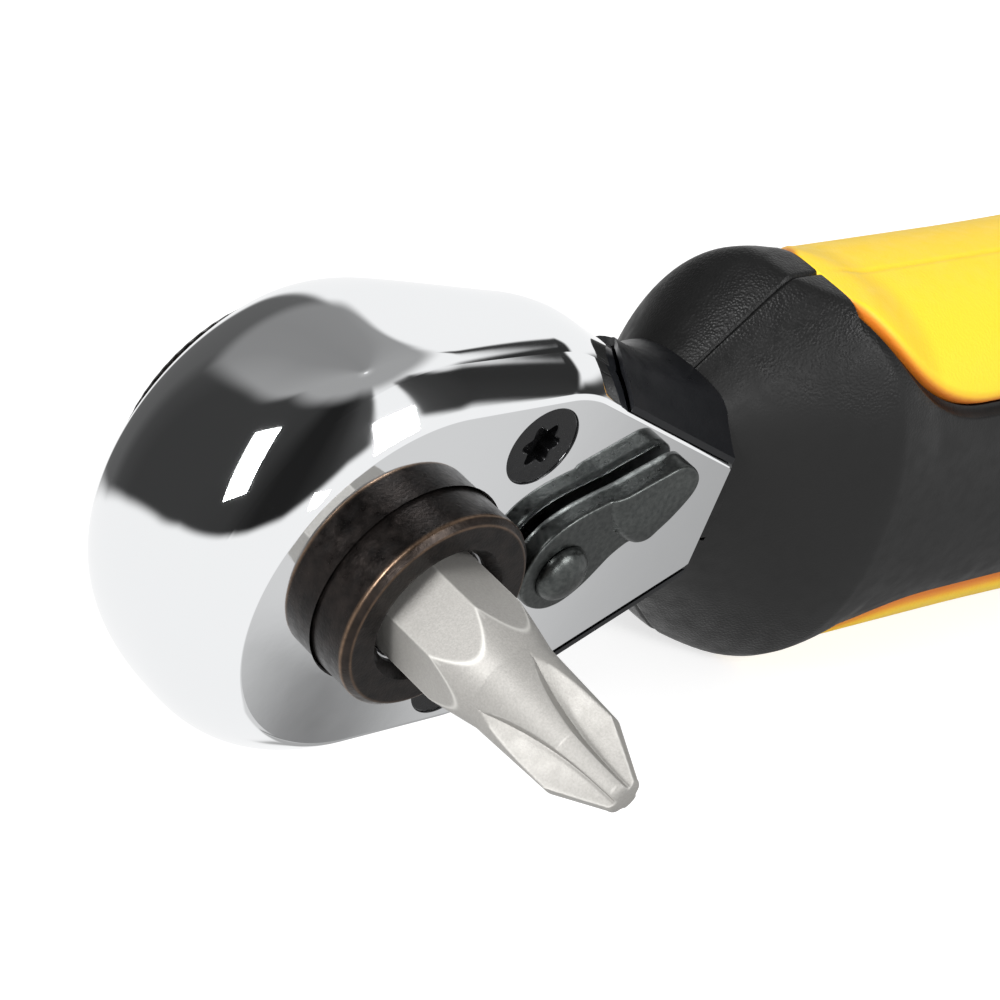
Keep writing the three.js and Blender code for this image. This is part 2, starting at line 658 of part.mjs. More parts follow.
function noseOutline() {
  const pivot = new THREE.Vector2(pivotX, 0);
  const spread = NOSE_HALF_ANGLE;
  const engaged = [
    polar(gearRoot + NOSE_ROOT_GAP, NOSE_ANGLE - 0.2 * spread),
    polar(gearTip, NOSE_ANGLE - spread),
    polar(gearTip + END_GAP, NOSE_ANGLE - 2 * spread),
    new THREE.Vector2(pivotX - 0.6 * hubRadius, 0.3 * hubRadius),
    new THREE.Vector2(pivotX, 0.9 * hubRadius),
    polar(noseBackRadius, NOSE_ANGLE + spread),
    polar(gearTip, NOSE_ANGLE + spread),
    polar(gearRoot + NOSE_ROOT_GAP, NOSE_ANGLE + 0.2 * spread),
  ];
  return engaged.map((p) => p.sub(pivot).rotateAround(new THREE.Vector2(), -degToRad(PAWL_ROCK)));
}

function pawl() {
  const nose = noseOutline();
  const mirrored = nose.map((p) => new THREE.Vector2(p.x, -p.y));
  const hub = new THREE.Shape(arcPoints(0, 0, hubRadius, 0, 350, 35));
  const frame = block(-0.2 * hubRadius, tailBackX, pawlFront, pawlBack, -tailHalfWidth, tailHalfWidth);
  const windowX = 0.25 * hubRadius;
  const window = block(windowX, TAIL_WALL_X, pawlFront - 1, pawlBack + 1, -windowHalfWidth, windowHalfWidth);
  return solid(plate(hub, pawlFront, pawlBack))
    .add(solid(frame).subtract(solid(window)))
    .add(solid(plate(new THREE.Shape(nose), pawlFront, pawlBack)))
    .add(solid(plate(new THREE.Shape(mirrored), pawlFront, pawlBack)))
    .subtract(solid(window))
    .subtract(solid(cylinder(SHAFT_RADIUS + RUNNING_GAP, pawlFront - 1, pawlBack + 1)));
}

function pawlPlunger() {
  const round = plungerTip - PLUNGER_RADIUS;
  const tip = [0, 1, 2, 3].map((i) => {
    const angle = degToRad(30 * i);
    return [PLUNGER_RADIUS * Math.cos(angle), round + PLUNGER_RADIUS * Math.sin(angle)];
  });
  tip[3][0] = 0;
  return solid(alongLever(turned([[0, plungerTail], [PLUNGER_RADIUS, plungerTail], ...tip], 20)));
}

// A helix of round wire that backs the plunger.
class Helix extends THREE.Curve {
  getPoint(t) {
    const angle = 2 * Math.PI * SPRING_TURNS * t;
    const along = springFoot() + SPRING_WIRE_RADIUS + t * (SPRING_LENGTH - 2 * SPRING_WIRE_RADIUS);
    return new THREE.Vector3(SPRING_RADIUS * Math.cos(angle), along, SPRING_RADIUS * Math.sin(angle));
  }
}

function plungerSpring() {
  const wire = new THREE.Shape(arcPoints(0, 0, SPRING_WIRE_RADIUS, 0, 288, 4));
  const options = { steps: 8 * SPRING_TURNS, extrudePath: new Helix() };
  return solid(alongLever(new THREE.ExtrudeGeometry(wire, options)));
}

// Handle

function noseCollar() {
  const sleeve = headBlank(COLLAR_GAP + COLLAR_WALL);
  return sleeve.intersect(headSpan(COLLAR_START_X, COLLAR_END_X, 0, FAR)).subtract(headBlank(COLLAR_GAP));
}

// Half height and half depth of the handle's section at a station along X.
function handleSection(x) {
  const rise = Math.min(1, (x - FLARE_START_X) / (FLARE_FULL_X - FLARE_START_X));
  const flare = (FLARE_POWER * rise - rise ** FLARE_POWER) / (FLARE_POWER - 1);
  const settle = smoothstep(x, FLARE_FULL_X, GRIP_SETTLE_X);
  const swell = smoothstep(x, GRIP_SETTLE_X + INLAY_SWEEP_LENGTH, SWELL_X);
  const buttStart = HANDLE_END_X - BUTT_LENGTH;
  const butt = Math.sqrt(1 - Math.max(0, (x - buttStart) / BUTT_LENGTH) ** 2);
  const grip = lerp(GRIP_HALF_HEIGHT, SWELL_HALF_HEIGHT, swell);
  const high = lerp(FLARE_HALF_HEIGHT, grip, settle);
  return {
    halfHeight: lerp(FLARE_ROOT_HALF_HEIGHT, high, flare) * butt,
    halfDepth: lerp(FLARE_ROOT_HALF_DEPTH, GRIP_HALF_DEPTH, flare) * butt,
    slanted: 1 - smoothstep(x, FLARE_FULL_X, SLANT_END_X),
  };
}

function handleStations() {
  const spread = (from, to, count) => Array.from({ length: count }, (_, i) => lerp(from, to, i / count));
  const buttStart = HANDLE_END_X - BUTT_LENGTH;
  const butt = [0, 25, 45, 60, 72, 82].map((a) => buttStart + BUTT_LENGTH * Math.sin(degToRad(a)));
  return [
    ...spread(FLARE_START_X, FLARE_FULL_X, 8),
    ...spread(FLARE_FULL_X, SLANT_END_X, 6),
    ...spread(SLANT_END_X, buttStart, 7),
    ...butt,
  ];
}

// The handle's outside, grown by an even gap and cut level with the flats on the head.
function handleBlank(grow = 0) {
  const rings = handleStations().map((station) => {
    const { halfHeight, halfDepth, slanted } = handleSection(station);
    return Array.from({ length: 40 }, (_, i) => {
      const angle = (2 * Math.PI * i) / 40;
      const power = 2 / HANDLE_SQUARENESS;
      const cos = Math.cos(angle);
      const sin = Math.sin(angle);
      const y = (halfDepth + grow) * Math.sign(cos) * Math.abs(cos) ** power;
      const z = (halfHeight + grow) * Math.sign(sin) * Math.abs(sin) ** power;
      const lean = (y < 0 ? FRONT_SLANT : BACK_SLANT) * y + UPWARD_LEAN * z;
      return new THREE.Vector3(station - slanted * lean, AXIS_DEPTH + y, z);
    });
  });
  const flats = block(-FAR, FAR, -FAR, FAR, -sideFlat, sideFlat);
  return solid(loft(rings)).intersect(solid(flats));
}

// The side view of a grip inlay, on the upper side for +1 and the lower side for -1, grown by a gap.
function inlayRegion(side, gap) {
  const start = INLAY_START_X - side * UPWARD_LEAN * FLARE_HALF_HEIGHT - gap;
  const end = INLAY_END_X + gap;
  const edge = INLAY_EDGE_HEIGHT - gap;
  const top = 2 * sideFlat;
  const crest = GRIP_HALF_HEIGHT;
  const sweep = INLAY_SWEEP_LENGTH;
  const outline = new THREE.Shape();
  outline.moveTo(start, side * top);
  outline.lineTo(start, side * crest);
  outline.bezierCurveTo(
    start + 0.3 * sweep, side * lerp(edge, crest, 0.8),
    start + 0.45 * sweep, side * edge,
    start + sweep, side * edge,
  );
  outline.lineTo(end - sweep, side * edge);
  outline.bezierCurveTo(
    end - 0.4 * sweep, side * edge,
    end - 0.1 * sweep, side * lerp(edge, crest, 0.5),
    end, side * crest,
  );
  outline.lineTo(end, side * top);
  return solid(plate(outline, -FAR, FAR, 10));
}

function gripInlay(side) {
  return handleBlank(INLAY_PROUD).intersect(inlayRegion(side, 0)).subtract(handleBlank(-INLAY_DEPTH));
}

function handleCore() {
  const overCollar = headBlank(COLLAR_GAP + COLLAR_WALL + MOULD_GAP);
  const overHead = headBlank(MOULD_GAP);
  const pocketFloor = handleBlank(-INLAY_DEPTH - MOULD_GAP);
  const spaces = [
    overCollar.intersect(headSpan(-FAR, COLLAR_END_X + MOULD_GAP, -FAR, FAR)),
    overHead.intersect(headSpan(-FAR, TAIL_END_X + MOULD_GAP, -FAR, FAR)),
    overHead.intersect(headSpan(-FAR, FAR, COVER_THICKNESS - MOULD_GAP, FAR)),
    tang(MOULD_GAP),
    inlayRegion(1, MOULD_GAP).subtract(pocketFloor),
    inlayRegion(-1, MOULD_GAP).subtract(pocketFloor),
  ];
  return spaces.reduce((core, space) => core.subtract(space), handleBlank());
}

// Assembly

function finish(color, roughness, metalness) {
  return new THREE.MeshStandardMaterial({ color, roughness, metalness });
}

function add(parent, name, manifold, material) {
  const mesh = new THREE.Mesh(geometryOf(manifold), material);
  mesh.name = name;
  parent.add(mesh);
  return mesh;
}

const driver = new THREE.Group();
const tool = new THREE.Group();
tool.position.y = bitReach;
driver.add(tool);

add(tool, 'head_body', headBody(), finish(0xd9dcdf, 0.08, 1));
add(tool, 'cover_plate', coverPlate(), finish(0xd9dcdf, 0.08, 1));
coverScrewPlaces().forEach(([x, z], i) => {
  const mesh = add(tool, ['cover_screw_upper', 'cover_screw_lower'][i], screw(), finish(0x1b1b1c, 0.35, 1));
  mesh.position.set(x, 0, z);
});

add(tool, 'drive_spindle', driveSpindle(), finish(0x2a2625, 0.45, 1));
add(tool, 'bit_clip', bitClip(), finish(0x8a8680, 0.4, 1));
add(tool, 'front_seal', frontSeal(), finish(0x161616, 0.8, 0));
add(tool, 'thrust_washer', thrustWasher(), finish(0x8a8c8e, 0.4, 1));
add(tool, 'spin_disc', spinDisc(), finish(0x2c2522, 0.45, 1));
const discScrew = add(tool, 'disc_screw', screw(), finish(0x1b1b1c, 0.35, 1));
discScrew.rotation.x = Math.PI;
discScrew.position.y = discBack;
add(tool, 'screwdriver_bit', bit(), finish(0xc4c0b8, 0.45, 1));

const lever = new THREE.Group();
lever.position.x = pivotX;
lever.rotation.y = -degToRad(LEVER_ANGLE);
tool.add(lever);
add(lever, 'reverser_lever', reverserLever(), finish(0x4a4d4c, 0.5, 1));
add(lever, 'lever_shaft', leverShaft(), finish(0x55585a, 0.4, 1));
add(lever, 'lever_clip', leverClip(), finish(0x77797b, 0.4, 1));
add(lever, 'plunger_spring', plungerSpring(), finish(0x9a9c9e, 0.35, 1));
add(lever, 'pawl_plunger', pawlPlunger(), finish(0x8a8c8e, 0.35, 1));

const pawlMesh = add(tool, 'pawl', pawl(), finish(0x6e6f70, 0.45, 1));
pawlMesh.position.x = pivotX;
pawlMesh.rotation.y = degToRad(PAWL_ROCK);

add(tool, 'nose_collar', noseCollar(), finish(0x1d1e20, 0.45, 0));
add(tool, 'handle_core', handleCore(), finish(0x242324, 0.6, 0));
add(tool, 'grip_upper', gripInlay(1), finish(0xf7c81e, 0.6, 0));
add(tool, 'grip_lower', gripInlay(-1), finish(0xf7c81e, 0.6, 0));

export default driver;
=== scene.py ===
# %% [markdown]
# # A mini ratchet bit driver
# A short chrome ratchet head takes a cross-point bit in a black holder, a gunmetal lever on its flat
# cover chooses the direction, and a black handle with yellow soft inlays carries it. The lesson rebuilds
# the pieces that show as smooth surfaces over the measured solid model, gives each one its finish, and
# lights them.

import math

import bmesh
import bpy
import numpy as np
from mathutils import Matrix, Quaternion, Vector
from mathutils.geometry import delaunay_2d_cdt


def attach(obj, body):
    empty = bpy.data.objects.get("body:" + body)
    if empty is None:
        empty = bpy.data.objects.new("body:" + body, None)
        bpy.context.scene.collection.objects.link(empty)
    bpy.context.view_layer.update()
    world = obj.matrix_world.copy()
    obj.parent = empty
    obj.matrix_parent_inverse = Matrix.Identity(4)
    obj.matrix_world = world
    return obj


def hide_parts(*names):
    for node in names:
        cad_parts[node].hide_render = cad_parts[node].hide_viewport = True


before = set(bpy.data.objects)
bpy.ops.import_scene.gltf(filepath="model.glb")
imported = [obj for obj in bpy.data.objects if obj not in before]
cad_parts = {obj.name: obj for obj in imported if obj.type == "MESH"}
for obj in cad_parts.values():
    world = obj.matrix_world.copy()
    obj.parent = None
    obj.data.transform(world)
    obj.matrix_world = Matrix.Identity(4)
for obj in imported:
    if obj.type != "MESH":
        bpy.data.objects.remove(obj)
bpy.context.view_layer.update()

# %% [markdown]
# ## Drawing frame
# All sizes below are millimetres in the frame of the head: the flat cover lies in the plane y = 0, the
# bit points along -y from the origin, and the handle runs along +x. The model's origin is the tip of the
# bit, so every finished surface is moved by the reach of the bit and turned into metres when its mesh is
# made.

# %% Meshes from grids of points
BIT_REACH = 19.1


def smooth(value, start, end):
    """Zero before start, one after end, and an S curve 3t² - 2t³ between."""
    t = np.clip((value - start) / (end - start), 0, 1)
    return t * t * (3 - 2 * t)


def mix(first, second, share):
    """The point that lies the given share of the way from first to second."""
    return first + (second - first) * share


def grid_faces(rows, cols, close_rows=False, close_cols=False):
    """Four-sided faces that join each point of a grid to its next row and its next column."""
    i = np.arange(rows if close_rows else rows - 1)[:, None]
    j = np.arange(cols if close_cols else cols - 1)[None, :]
    below, right = (i + 1) % rows, (j + 1) % cols
    quads = np.stack([i * cols + j, i * cols + right, below * cols + right, below * cols + j], -1)
    return quads.reshape(-1, 4)


WELD_DISTANCE = 2e-7
SQUARE_TO_AXIS = 0.9995


def make_piece(name, points, faces, body, nodes, slot, finish, marks=None, sharp=35):
    """A closed mesh from points and faces. Points that coincide are welded, normals turn outward, and faces
    square to the bit axis are left flat so that they mirror cleanly."""
    points = np.asarray(points, float).reshape(-1, 3)
    mesh = bpy.data.meshes.new(name)
    mesh.from_pydata(((points + (0, BIT_REACH, 0)) / 1000).tolist(), [], [list(map(int, f)) for f in faces])
    for mark, values in (marks or {}).items():
        layer = mesh.attributes.new(mark, "FLOAT", "POINT")
        values = np.broadcast_to(values, len(points))
        layer.data.foreach_set("value", np.ascontiguousarray(values, np.float32))
    shape = bmesh.new()
    shape.from_mesh(mesh)
    bmesh.ops.remove_doubles(shape, verts=shape.verts, dist=WELD_DISTANCE)
    bmesh.ops.recalc_face_normals(shape, faces=shape.faces)
    open_edges = sum(not edge.is_manifold for edge in shape.edges)
    shape.to_mesh(mesh)
    shape.free()
    normals = np.zeros(len(mesh.polygons) * 3, np.float32)
    mesh.polygons.foreach_get("normal", normals)
    mesh.set_sharp_from_angle(angle=math.radians(sharp))
    mesh.polygons.foreach_set("use_smooth", np.abs(normals[1::3]) < SQUARE_TO_AXIS)
    mesh.materials.append(finish.material)
    piece = bpy.data.objects.new(name, mesh)
    bpy.context.collection.objects.link(piece)
    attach(piece, body)
    if nodes:
        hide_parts(*nodes)
    print(name, len(mesh.polygons), "faces,", open_edges, "open edges")


def grid_piece(name, grid, *place, close_rows=False, **looks):
    """A piece whose skin is one grid of points, closed round its columns and, for a ring, along its rows."""
    make_piece(name, grid, grid_faces(*grid.shape[:2], close_rows, True), *place, **looks)


# %% [markdown]
# Turned pieces share two tools. A profile is a line of corners given as radius and height, and each
# corner is broken by a small curve, since no machined edge is perfectly sharp and the curve catches a
# line of light.

# %% Profiles and turned grids
def rounded(corners, radius, steps=4):
    """Each inner corner of a line becomes a quadratic curve that starts and ends at most radius away."""
    corners = np.asarray(corners, float)
    before, corner, after = corners[:-2], corners[1:-1], corners[2:]
    cut_in = np.minimum(0.45, radius / np.linalg.norm(before - corner, axis=1))[:, None]
    cut_out = np.minimum(0.45, radius / np.linalg.norm(after - corner, axis=1))[:, None]
    start, end = mix(corner, before, cut_in), mix(corner, after, cut_out)
    t = np.linspace(0, 1, steps)[None, :, None]
    curve = (1 - t) ** 2 * start[:, None] + 2 * t * (1 - t) * corner[:, None] + t**2 * end[:, None]
    return np.vstack([corners[:1], curve.reshape(-1, corners.shape[1]), corners[-1:]])


def turned(radius, height, angles, centre=(0, 0)):
    """Points at each radius and height round an axis along y through centre, with angles from x to z."""
    radius, height = np.broadcast_arrays(radius, height)
    return np.stack([centre[0] + radius * np.cos(angles), height, centre[1] + radius * np.sin(angles)], -1)


# %% [markdown]
# ## Finishes
# Each finish is a procedural material on object coordinates. Noise varies its roughness, and a fine bump
# gives it the grain of its making: polish, blasting, casting or moulding.

# %% Parts of a finish
COLOUR_A, COLOUR_B, COLOUR_OUT = 6, 7, 2  # the sockets of a Mix node that carry colours


class Finish:
    """A material with short ways to add noise, bump and marks that were stored on the mesh."""

    def __init__(self, name, colour, metal, roughness):
        self.material = bpy.data.materials.new(name)
        self.material.use_nodes = True
        self.nodes, self.links = self.material.node_tree.nodes, self.material.node_tree.links
        self.shader = self.nodes["Principled BSDF"]
        self.shader.inputs["Base Color"].default_value = (*colour, 1)
        self.shader.inputs["Metallic"].default_value = metal
        self.shader.inputs["Roughness"].default_value = roughness
        self.place = self.nodes.new("ShaderNodeTexCoord").outputs["Object"]

    def noise(self, size, low=0.0, high=1.0, detail=3):
        """Noise whose lumps are about size millimetres, mapped from low to high."""
        noise = self.nodes.new("ShaderNodeTexNoise")
        noise.inputs["Scale"].default_value = 1000 / size
        noise.inputs["Detail"].default_value = detail
        self.links.new(self.place, noise.inputs["Vector"])
        return self.spread(noise.outputs["Fac"], 0.3, 0.7, low, high)

    def cells(self, size):
        """Rounded cells about size millimetres across, high in the middle, like the pebbles of leather."""
        cells = self.nodes.new("ShaderNodeTexVoronoi")
        cells.feature = "SMOOTH_F1"
        cells.inputs["Scale"].default_value = 1000 / size
        cells.inputs["Smoothness"].default_value = 0.4
        self.links.new(self.place, cells.inputs["Vector"])
        return self.spread(cells.outputs["Distance"], 0.1, 0.7, 1.0, 0.0)

    def mark(self, name, low=0.0, high=1.0):
        """A value that was stored on the mesh."""
        mark = self.nodes.new("ShaderNodeAttribute")
        mark.attribute_name = name
        return self.spread(mark.outputs["Fac"], 0, 1, low, high)

    def spread(self, value, from_low, from_high, low, high):
        """value moved from one range to another and kept inside it."""
        spread = self.nodes.new("ShaderNodeMapRange")
        ends = {"From Min": from_low, "From Max": from_high, "To Min": low, "To Max": high}
        for socket, number in ends.items():
            spread.inputs[socket].default_value = number
        self.links.new(value, spread.inputs["Value"])
        return spread.outputs["Result"]

    def product(self, first, second):
        """One value times the other."""
        node = self.nodes.new("ShaderNodeMath")
        node.operation = "MULTIPLY"
        self.links.new(first, node.inputs[0])
        self.links.new(second, node.inputs[1])
        return node.outputs["Value"]

    def blend(self, share, first, second):
        """A colour between two colours; first may be the output of an earlier blend."""
        node = self.nodes.new("ShaderNodeMix")
        node.data_type = "RGBA"
        self.links.new(share, node.inputs["Factor"])
        if isinstance(first, tuple):
            node.inputs[COLOUR_A].default_value = (*first, 1)
        else:
            self.links.new(first, node.inputs[COLOUR_A])
        node.inputs[COLOUR_B].default_value = (*second, 1)
        return node.outputs[COLOUR_OUT]

    def bump(self, height, depth):
        """Relief of the given depth in millimetres."""
        bump = self.nodes.new("ShaderNodeBump")
        bump.inputs["Strength"].default_value = 1
        bump.inputs["Distance"].default_value = depth / 1000
        self.links.new(height, bump.inputs["Height"])
        self.links.new(bump.outputs["Normal"], self.shader.inputs["Normal"])

    def drive(self, socket, value):
        """The value feeds that socket of the surface."""
        self.links.new(value, self.shader.inputs[socket])


# %% [markdown]
# Chrome is a thin plated layer over polished metal. It mirrors the studio almost cleanly; faint polishing
# waves and smudges keep it from looking perfect. The bit is blasted tool steel, warm grey and finely
# pitted.

# %% Chrome and bit steel
chrome = Finish("chrome plate", (0.86, 0.87, 0.88), 1.0, 0.05)
chrome.drive("Roughness", chrome.noise(4.0, 0.02, 0.06))
chrome.bump(chrome.noise(2.5), 0.0005)

bit_steel = Finish("blasted bit steel", (0.3, 0.291, 0.275), 0.4, 0.54)
grained = bit_steel.blend(bit_steel.noise(0.14), (0.285, 0.277, 0.262), (0.335, 0.325, 0.307))
# Painted highlight: where the mark on the mesh is high, the bit's edges are painted a light grey.
bit_steel.drive("Base Color", bit_steel.blend(bit_steel.mark("wear_and_highlight"), grained, (0.62, 0.61, 0.58)))
bit_steel.drive("Roughness", bit_steel.noise(0.8, 0.5, 0.58))
bit_steel.bump(bit_steel.noise(0.1, detail=4), 0.005)
print("finishes:", chrome.material.name, "and", bit_steel.material.name)

# %% [markdown]
# The holder is blackened steel whose front edges are rubbed to a brass-brown line. Screws are a glossier
# black. The lever is a small casting with a gunmetal coat, speckled by its mould.

# %% Black oxide, black screws and gunmetal
black_oxide = Finish("black oxide", (0.02, 0.018, 0.017), 0.9, 0.35)
rubbed = black_oxide.product(black_oxide.mark("wear_and_highlight"), black_oxide.noise(0.5, 0.55, 1.0))
browned = black_oxide.blend(black_oxide.noise(0.9), (0.012, 0.0105, 0.01), (0.026, 0.021, 0.019))
black_oxide.drive("Base Color", black_oxide.blend(rubbed, browned, (0.2, 0.13, 0.085)))
black_oxide.drive("Roughness", black_oxide.noise(0.6, 0.26, 0.42))
black_oxide.bump(black_oxide.noise(0.2), 0.006)

black_screw = Finish("black screw", (0.012, 0.012, 0.013), 0.6, 0.22)
black_screw.drive("Roughness", black_screw.noise(0.4, 0.16, 0.34))
black_screw.bump(black_screw.noise(0.15), 0.004)

gunmetal = Finish("gunmetal casting", (0.13, 0.135, 0.13), 1.0, 0.4)
speckled = gunmetal.blend(gunmetal.noise(0.3), (0.05, 0.054, 0.053), (0.085, 0.09, 0.087))
gunmetal.drive("Base Color", speckled)
gunmetal.drive("Roughness", gunmetal.noise(0.5, 0.26, 0.4))
gunmetal.bump(gunmetal.noise(0.2), 0.004)
print("finishes:", black_oxide.material.name, black_screw.material.name, gunmetal.material.name, sep=", ")

# %% [markdown]
# Plastics and rubber: the collar is a smooth bluish black, the handle moulding has a leathery grain on
# its top and a satin side, and the inlays are a soft golden yellow with a painted shade of darker orange
# where the edge rolls down into its groove.

# %% Mouldings and inner pieces
collar_plastic = Finish("collar plastic", (0.006, 0.0065, 0.008), 0.0, 0.32)
collar_plastic.drive("Roughness", collar_plastic.noise(1.5, 0.27, 0.4))
collar_plastic.bump(collar_plastic.noise(0.3), 0.004)

handle_plastic = Finish("handle plastic", (0.0065, 0.0065, 0.0065), 0.0, 0.45)
leather = handle_plastic.product(handle_plastic.cells(0.17), handle_plastic.mark("grain", 0.12, 1.0))
handle_plastic.drive("Roughness", handle_plastic.noise(1.2, 0.36, 0.5))
handle_plastic.bump(leather, 0.02)
SHEEN = 0.23
for finish in (collar_plastic, handle_plastic):
    finish.shader.inputs["Specular IOR Level"].default_value = SHEEN

grip_rubber = Finish("grip rubber", (0.9, 0.55, 0.012), 0.0, 0.5)
# Painted shade: the edge mark on the mesh turns the yellow a darker orange where the inlay rolls down into
# its groove.
painted_groove_shade = grip_rubber.mark("edge")
grip_rubber.drive("Base Color", grip_rubber.blend(painted_groove_shade, (0.93, 0.62, 0.02), (0.6, 0.16, 0.01)))
grip_rubber.drive("Roughness", grip_rubber.noise(1.0, 0.45, 0.6))
grip_rubber.bump(grip_rubber.noise(0.2), 0.012)

inner_steel = Finish("inner steel", (0.45, 0.45, 0.46), 1.0, 0.35)
inner_steel.drive("Roughness", inner_steel.noise(0.8, 0.28, 0.45))
inner_steel.bump(inner_steel.noise(0.3), 0.006)

seal_rubber = Finish("seal rubber", (0.015, 0.015, 0.015), 0.0, 0.6)
seal_rubber.drive("Roughness", seal_rubber.noise(0.6, 0.5, 0.7))
seal_rubber.bump(seal_rubber.noise(0.25), 0.008)
print("mouldings have a specular level of", SHEEN)

# %% [markdown]
# ## Head
# The head is a drop in plan: a round nose about the bit axis, a shoulder arc on each side, and a straight
# taper to the neck. Its outline is followed point by point with the outward normal of each point.

# %% Outline of the head
FACE_HALF_WIDTH = 11.5
SHOULDER_X, SHOULDER_RADIUS = 9.4, 7.0
TAIL_X, TAIL_HALF_WIDTH = 25.3, 3.75
TAPER = math.atan2(FACE_HALF_WIDTH - TAIL_HALF_WIDTH, TAIL_X - SHOULDER_X)
NOSE_STEPS, CHEEK_STEPS, SHOULDER_STEPS, TAPER_STEPS = 76, 24, 40, 60


def drop_outline(end_x):
    """Points and normals round the drop: nose arc, straight cheek, shoulder arc and taper, on both sides."""
    nose = np.radians(np.linspace(180, 270, NOSE_STEPS))
    arc = np.linspace(0, TAPER, SHOULDER_STEPS)
    centre_x = SHOULDER_X - SHOULDER_RADIUS * math.tan(TAPER / 2)
    cheek_x = np.linspace(0, centre_x, CHEEK_STEPS, endpoint=False)[1:]
    cheek_z = np.full_like(cheek_x, -FACE_HALF_WIDTH)
    turn_x = centre_x + SHOULDER_RADIUS * np.sin(arc)
    turn_z = -(FACE_HALF_WIDTH - SHOULDER_RADIUS) - SHOULDER_RADIUS * np.cos(arc)
    tail_x = np.linspace(turn_x[-1], end_x, TAPER_STEPS)[1:]
    tail_z = turn_z[-1] + (tail_x - turn_x[-1]) * math.tan(TAPER)
    x = np.concatenate([FACE_HALF_WIDTH * np.cos(nose), cheek_x, turn_x, tail_x])
    z = np.concatenate([FACE_HALF_WIDTH * np.sin(nose), cheek_z, turn_z, tail_z])
    nx = np.concatenate([np.cos(nose), 0 * cheek_x, np.sin(arc), np.full_like(tail_x, math.sin(TAPER))])
    nz = np.concatenate([np.sin(nose), 0 * cheek_x - 1, -np.cos(arc), np.full_like(tail_x, -math.cos(TAPER))])
    lower = np.stack([x, z], -1), np.stack([nx, nz], -1)
    flip = np.array([1, -1])
    return [np.vstack([side, (side * flip)[:0:-1]]) for side in lower]


print("the head tapers by", round(math.degrees(TAPER), 1), "degrees on each side")

# %% [markdown]
# Behind the cover the sides swell into a dome. The swell is a rounded rise to the widest depth and a
# rounded return to the back, fading toward the neck, and two small flats keep the head within its real
# height.

# %% Dome of the head
COVER_DEPTH, HEAD_DEPTH, NECK_DEPTH, WIDEST_DEPTH = 2.2, 14.0, 9.2, 6.2
SIDE_FLAT, FLAT_EDGE = 14.0, 0.1
DOME_SWELL, NECK_SWELL, BACK_DRAW = 2.95, 1.7, 2.0
RISE_POWER, RETURN_POWER = 2.6, 2.4
BACK_RISE, SWELL_FADE = (-6, 14), (-4, 22)


def back_depth(x):
    """Depth of the back, which rises from the dome to the thinner neck."""
    return mix(HEAD_DEPTH, NECK_DEPTH, smooth(x, *BACK_RISE))


def swell(depth, x):
    """How far the side stands out from the outline at a depth: a rounded rise, then a rounded return."""
    most = mix(DOME_SWELL, NECK_SWELL, smooth(x, *SWELL_FADE))
    rise = most * (1 - np.abs(1 - depth / WIDEST_DEPTH) ** RISE_POWER)
    past = np.clip((depth - WIDEST_DEPTH) / (HEAD_DEPTH - WIDEST_DEPTH), 0, 1)
    back = mix(-BACK_DRAW, most, (1 - past**RETURN_POWER) ** (1 / RETURN_POWER))
    return np.where(depth <= WIDEST_DEPTH, rise, back)


def soft_flat(z, limit=SIDE_FLAT):
    """z pressed against a flat at the limit with a small rounded edge."""
    return np.sign(z) * (limit - FLAT_EDGE * np.logaddexp(0, (limit - np.abs(z)) / FLAT_EDGE))


def true_depth(level, x, grow=0.0):
    """Depth of a level of the head: the cover keeps its depth, the rest shrinks with the back at the neck."""
    share = np.maximum(0, level - COVER_DEPTH) / (HEAD_DEPTH - COVER_DEPTH)
    return np.minimum(level, COVER_DEPTH) + share * (back_depth(x) - COVER_DEPTH + grow)


def head_rings(levels, outline):
    """One ring of the head at each level, the outline moved out by the swell."""
    point, normal = outline
    level = np.asarray(levels)[:, None]
    out = swell(level, point[None, :, 0])
    x = point[None, :, 0] + normal[None, :, 0] * out
    z = point[None, :, 1] + normal[None, :, 1] * out
    return np.stack([x, true_depth(level, x), soft_flat(z)], -1)


print("the side stands out by up to", DOME_SWELL, "mm")

# %% [markdown]
# The casting is one closed skin: down the dome, over the back to the journal bore, through the gear
# chamber and out to the joint with the cover. The tang that the handle is moulded round runs on from the
# neck.

# %% Head casting
CASTING_END = 27.0
JOURNAL_BORE, CHAMBER_RADIUS, CHAMBER_DEPTH = 5.1, 8.0, 8.9
HANDLE_AXIS_Y = 4.6
TANG_HALF_DEPTH, TANG_HALF_WIDTH, TANG_CORNER = 2.3, 4.5, 0.3

outline = drop_outline(CASTING_END)
return_levels = HEAD_DEPTH - (HEAD_DEPTH - WIDEST_DEPTH) * np.linspace(1, 0, 56) ** 2
dome = head_rings(np.concatenate([np.linspace(COVER_DEPTH, WIDEST_DEPTH, 40), return_levels[1:]]), outline)
bearing = np.arctan2(outline[0][:, 1], outline[0][:, 0])


def round_ring(radius, y):
    """A circle about the bit axis with a point on the bearing of each outline point."""
    return turned(np.full_like(bearing, radius), y, bearing)[None]


share = np.linspace(0, 1, 9)[1:, None, None]
across = mix(dome[-1:], round_ring(JOURNAL_BORE, HEAD_DEPTH), share)
across[..., 1] = back_depth(across[..., 0])
bore = round_ring(JOURNAL_BORE, CHAMBER_DEPTH)
chamber = [round_ring(CHAMBER_RADIUS, depth) for depth in (CHAMBER_DEPTH, COVER_DEPTH)]
casting = np.vstack([dome, across, bore, *chamber])
grid_piece("head_casting", casting, "head", ["head_body"], "chrome", chrome, close_rows=True, sharp=40)

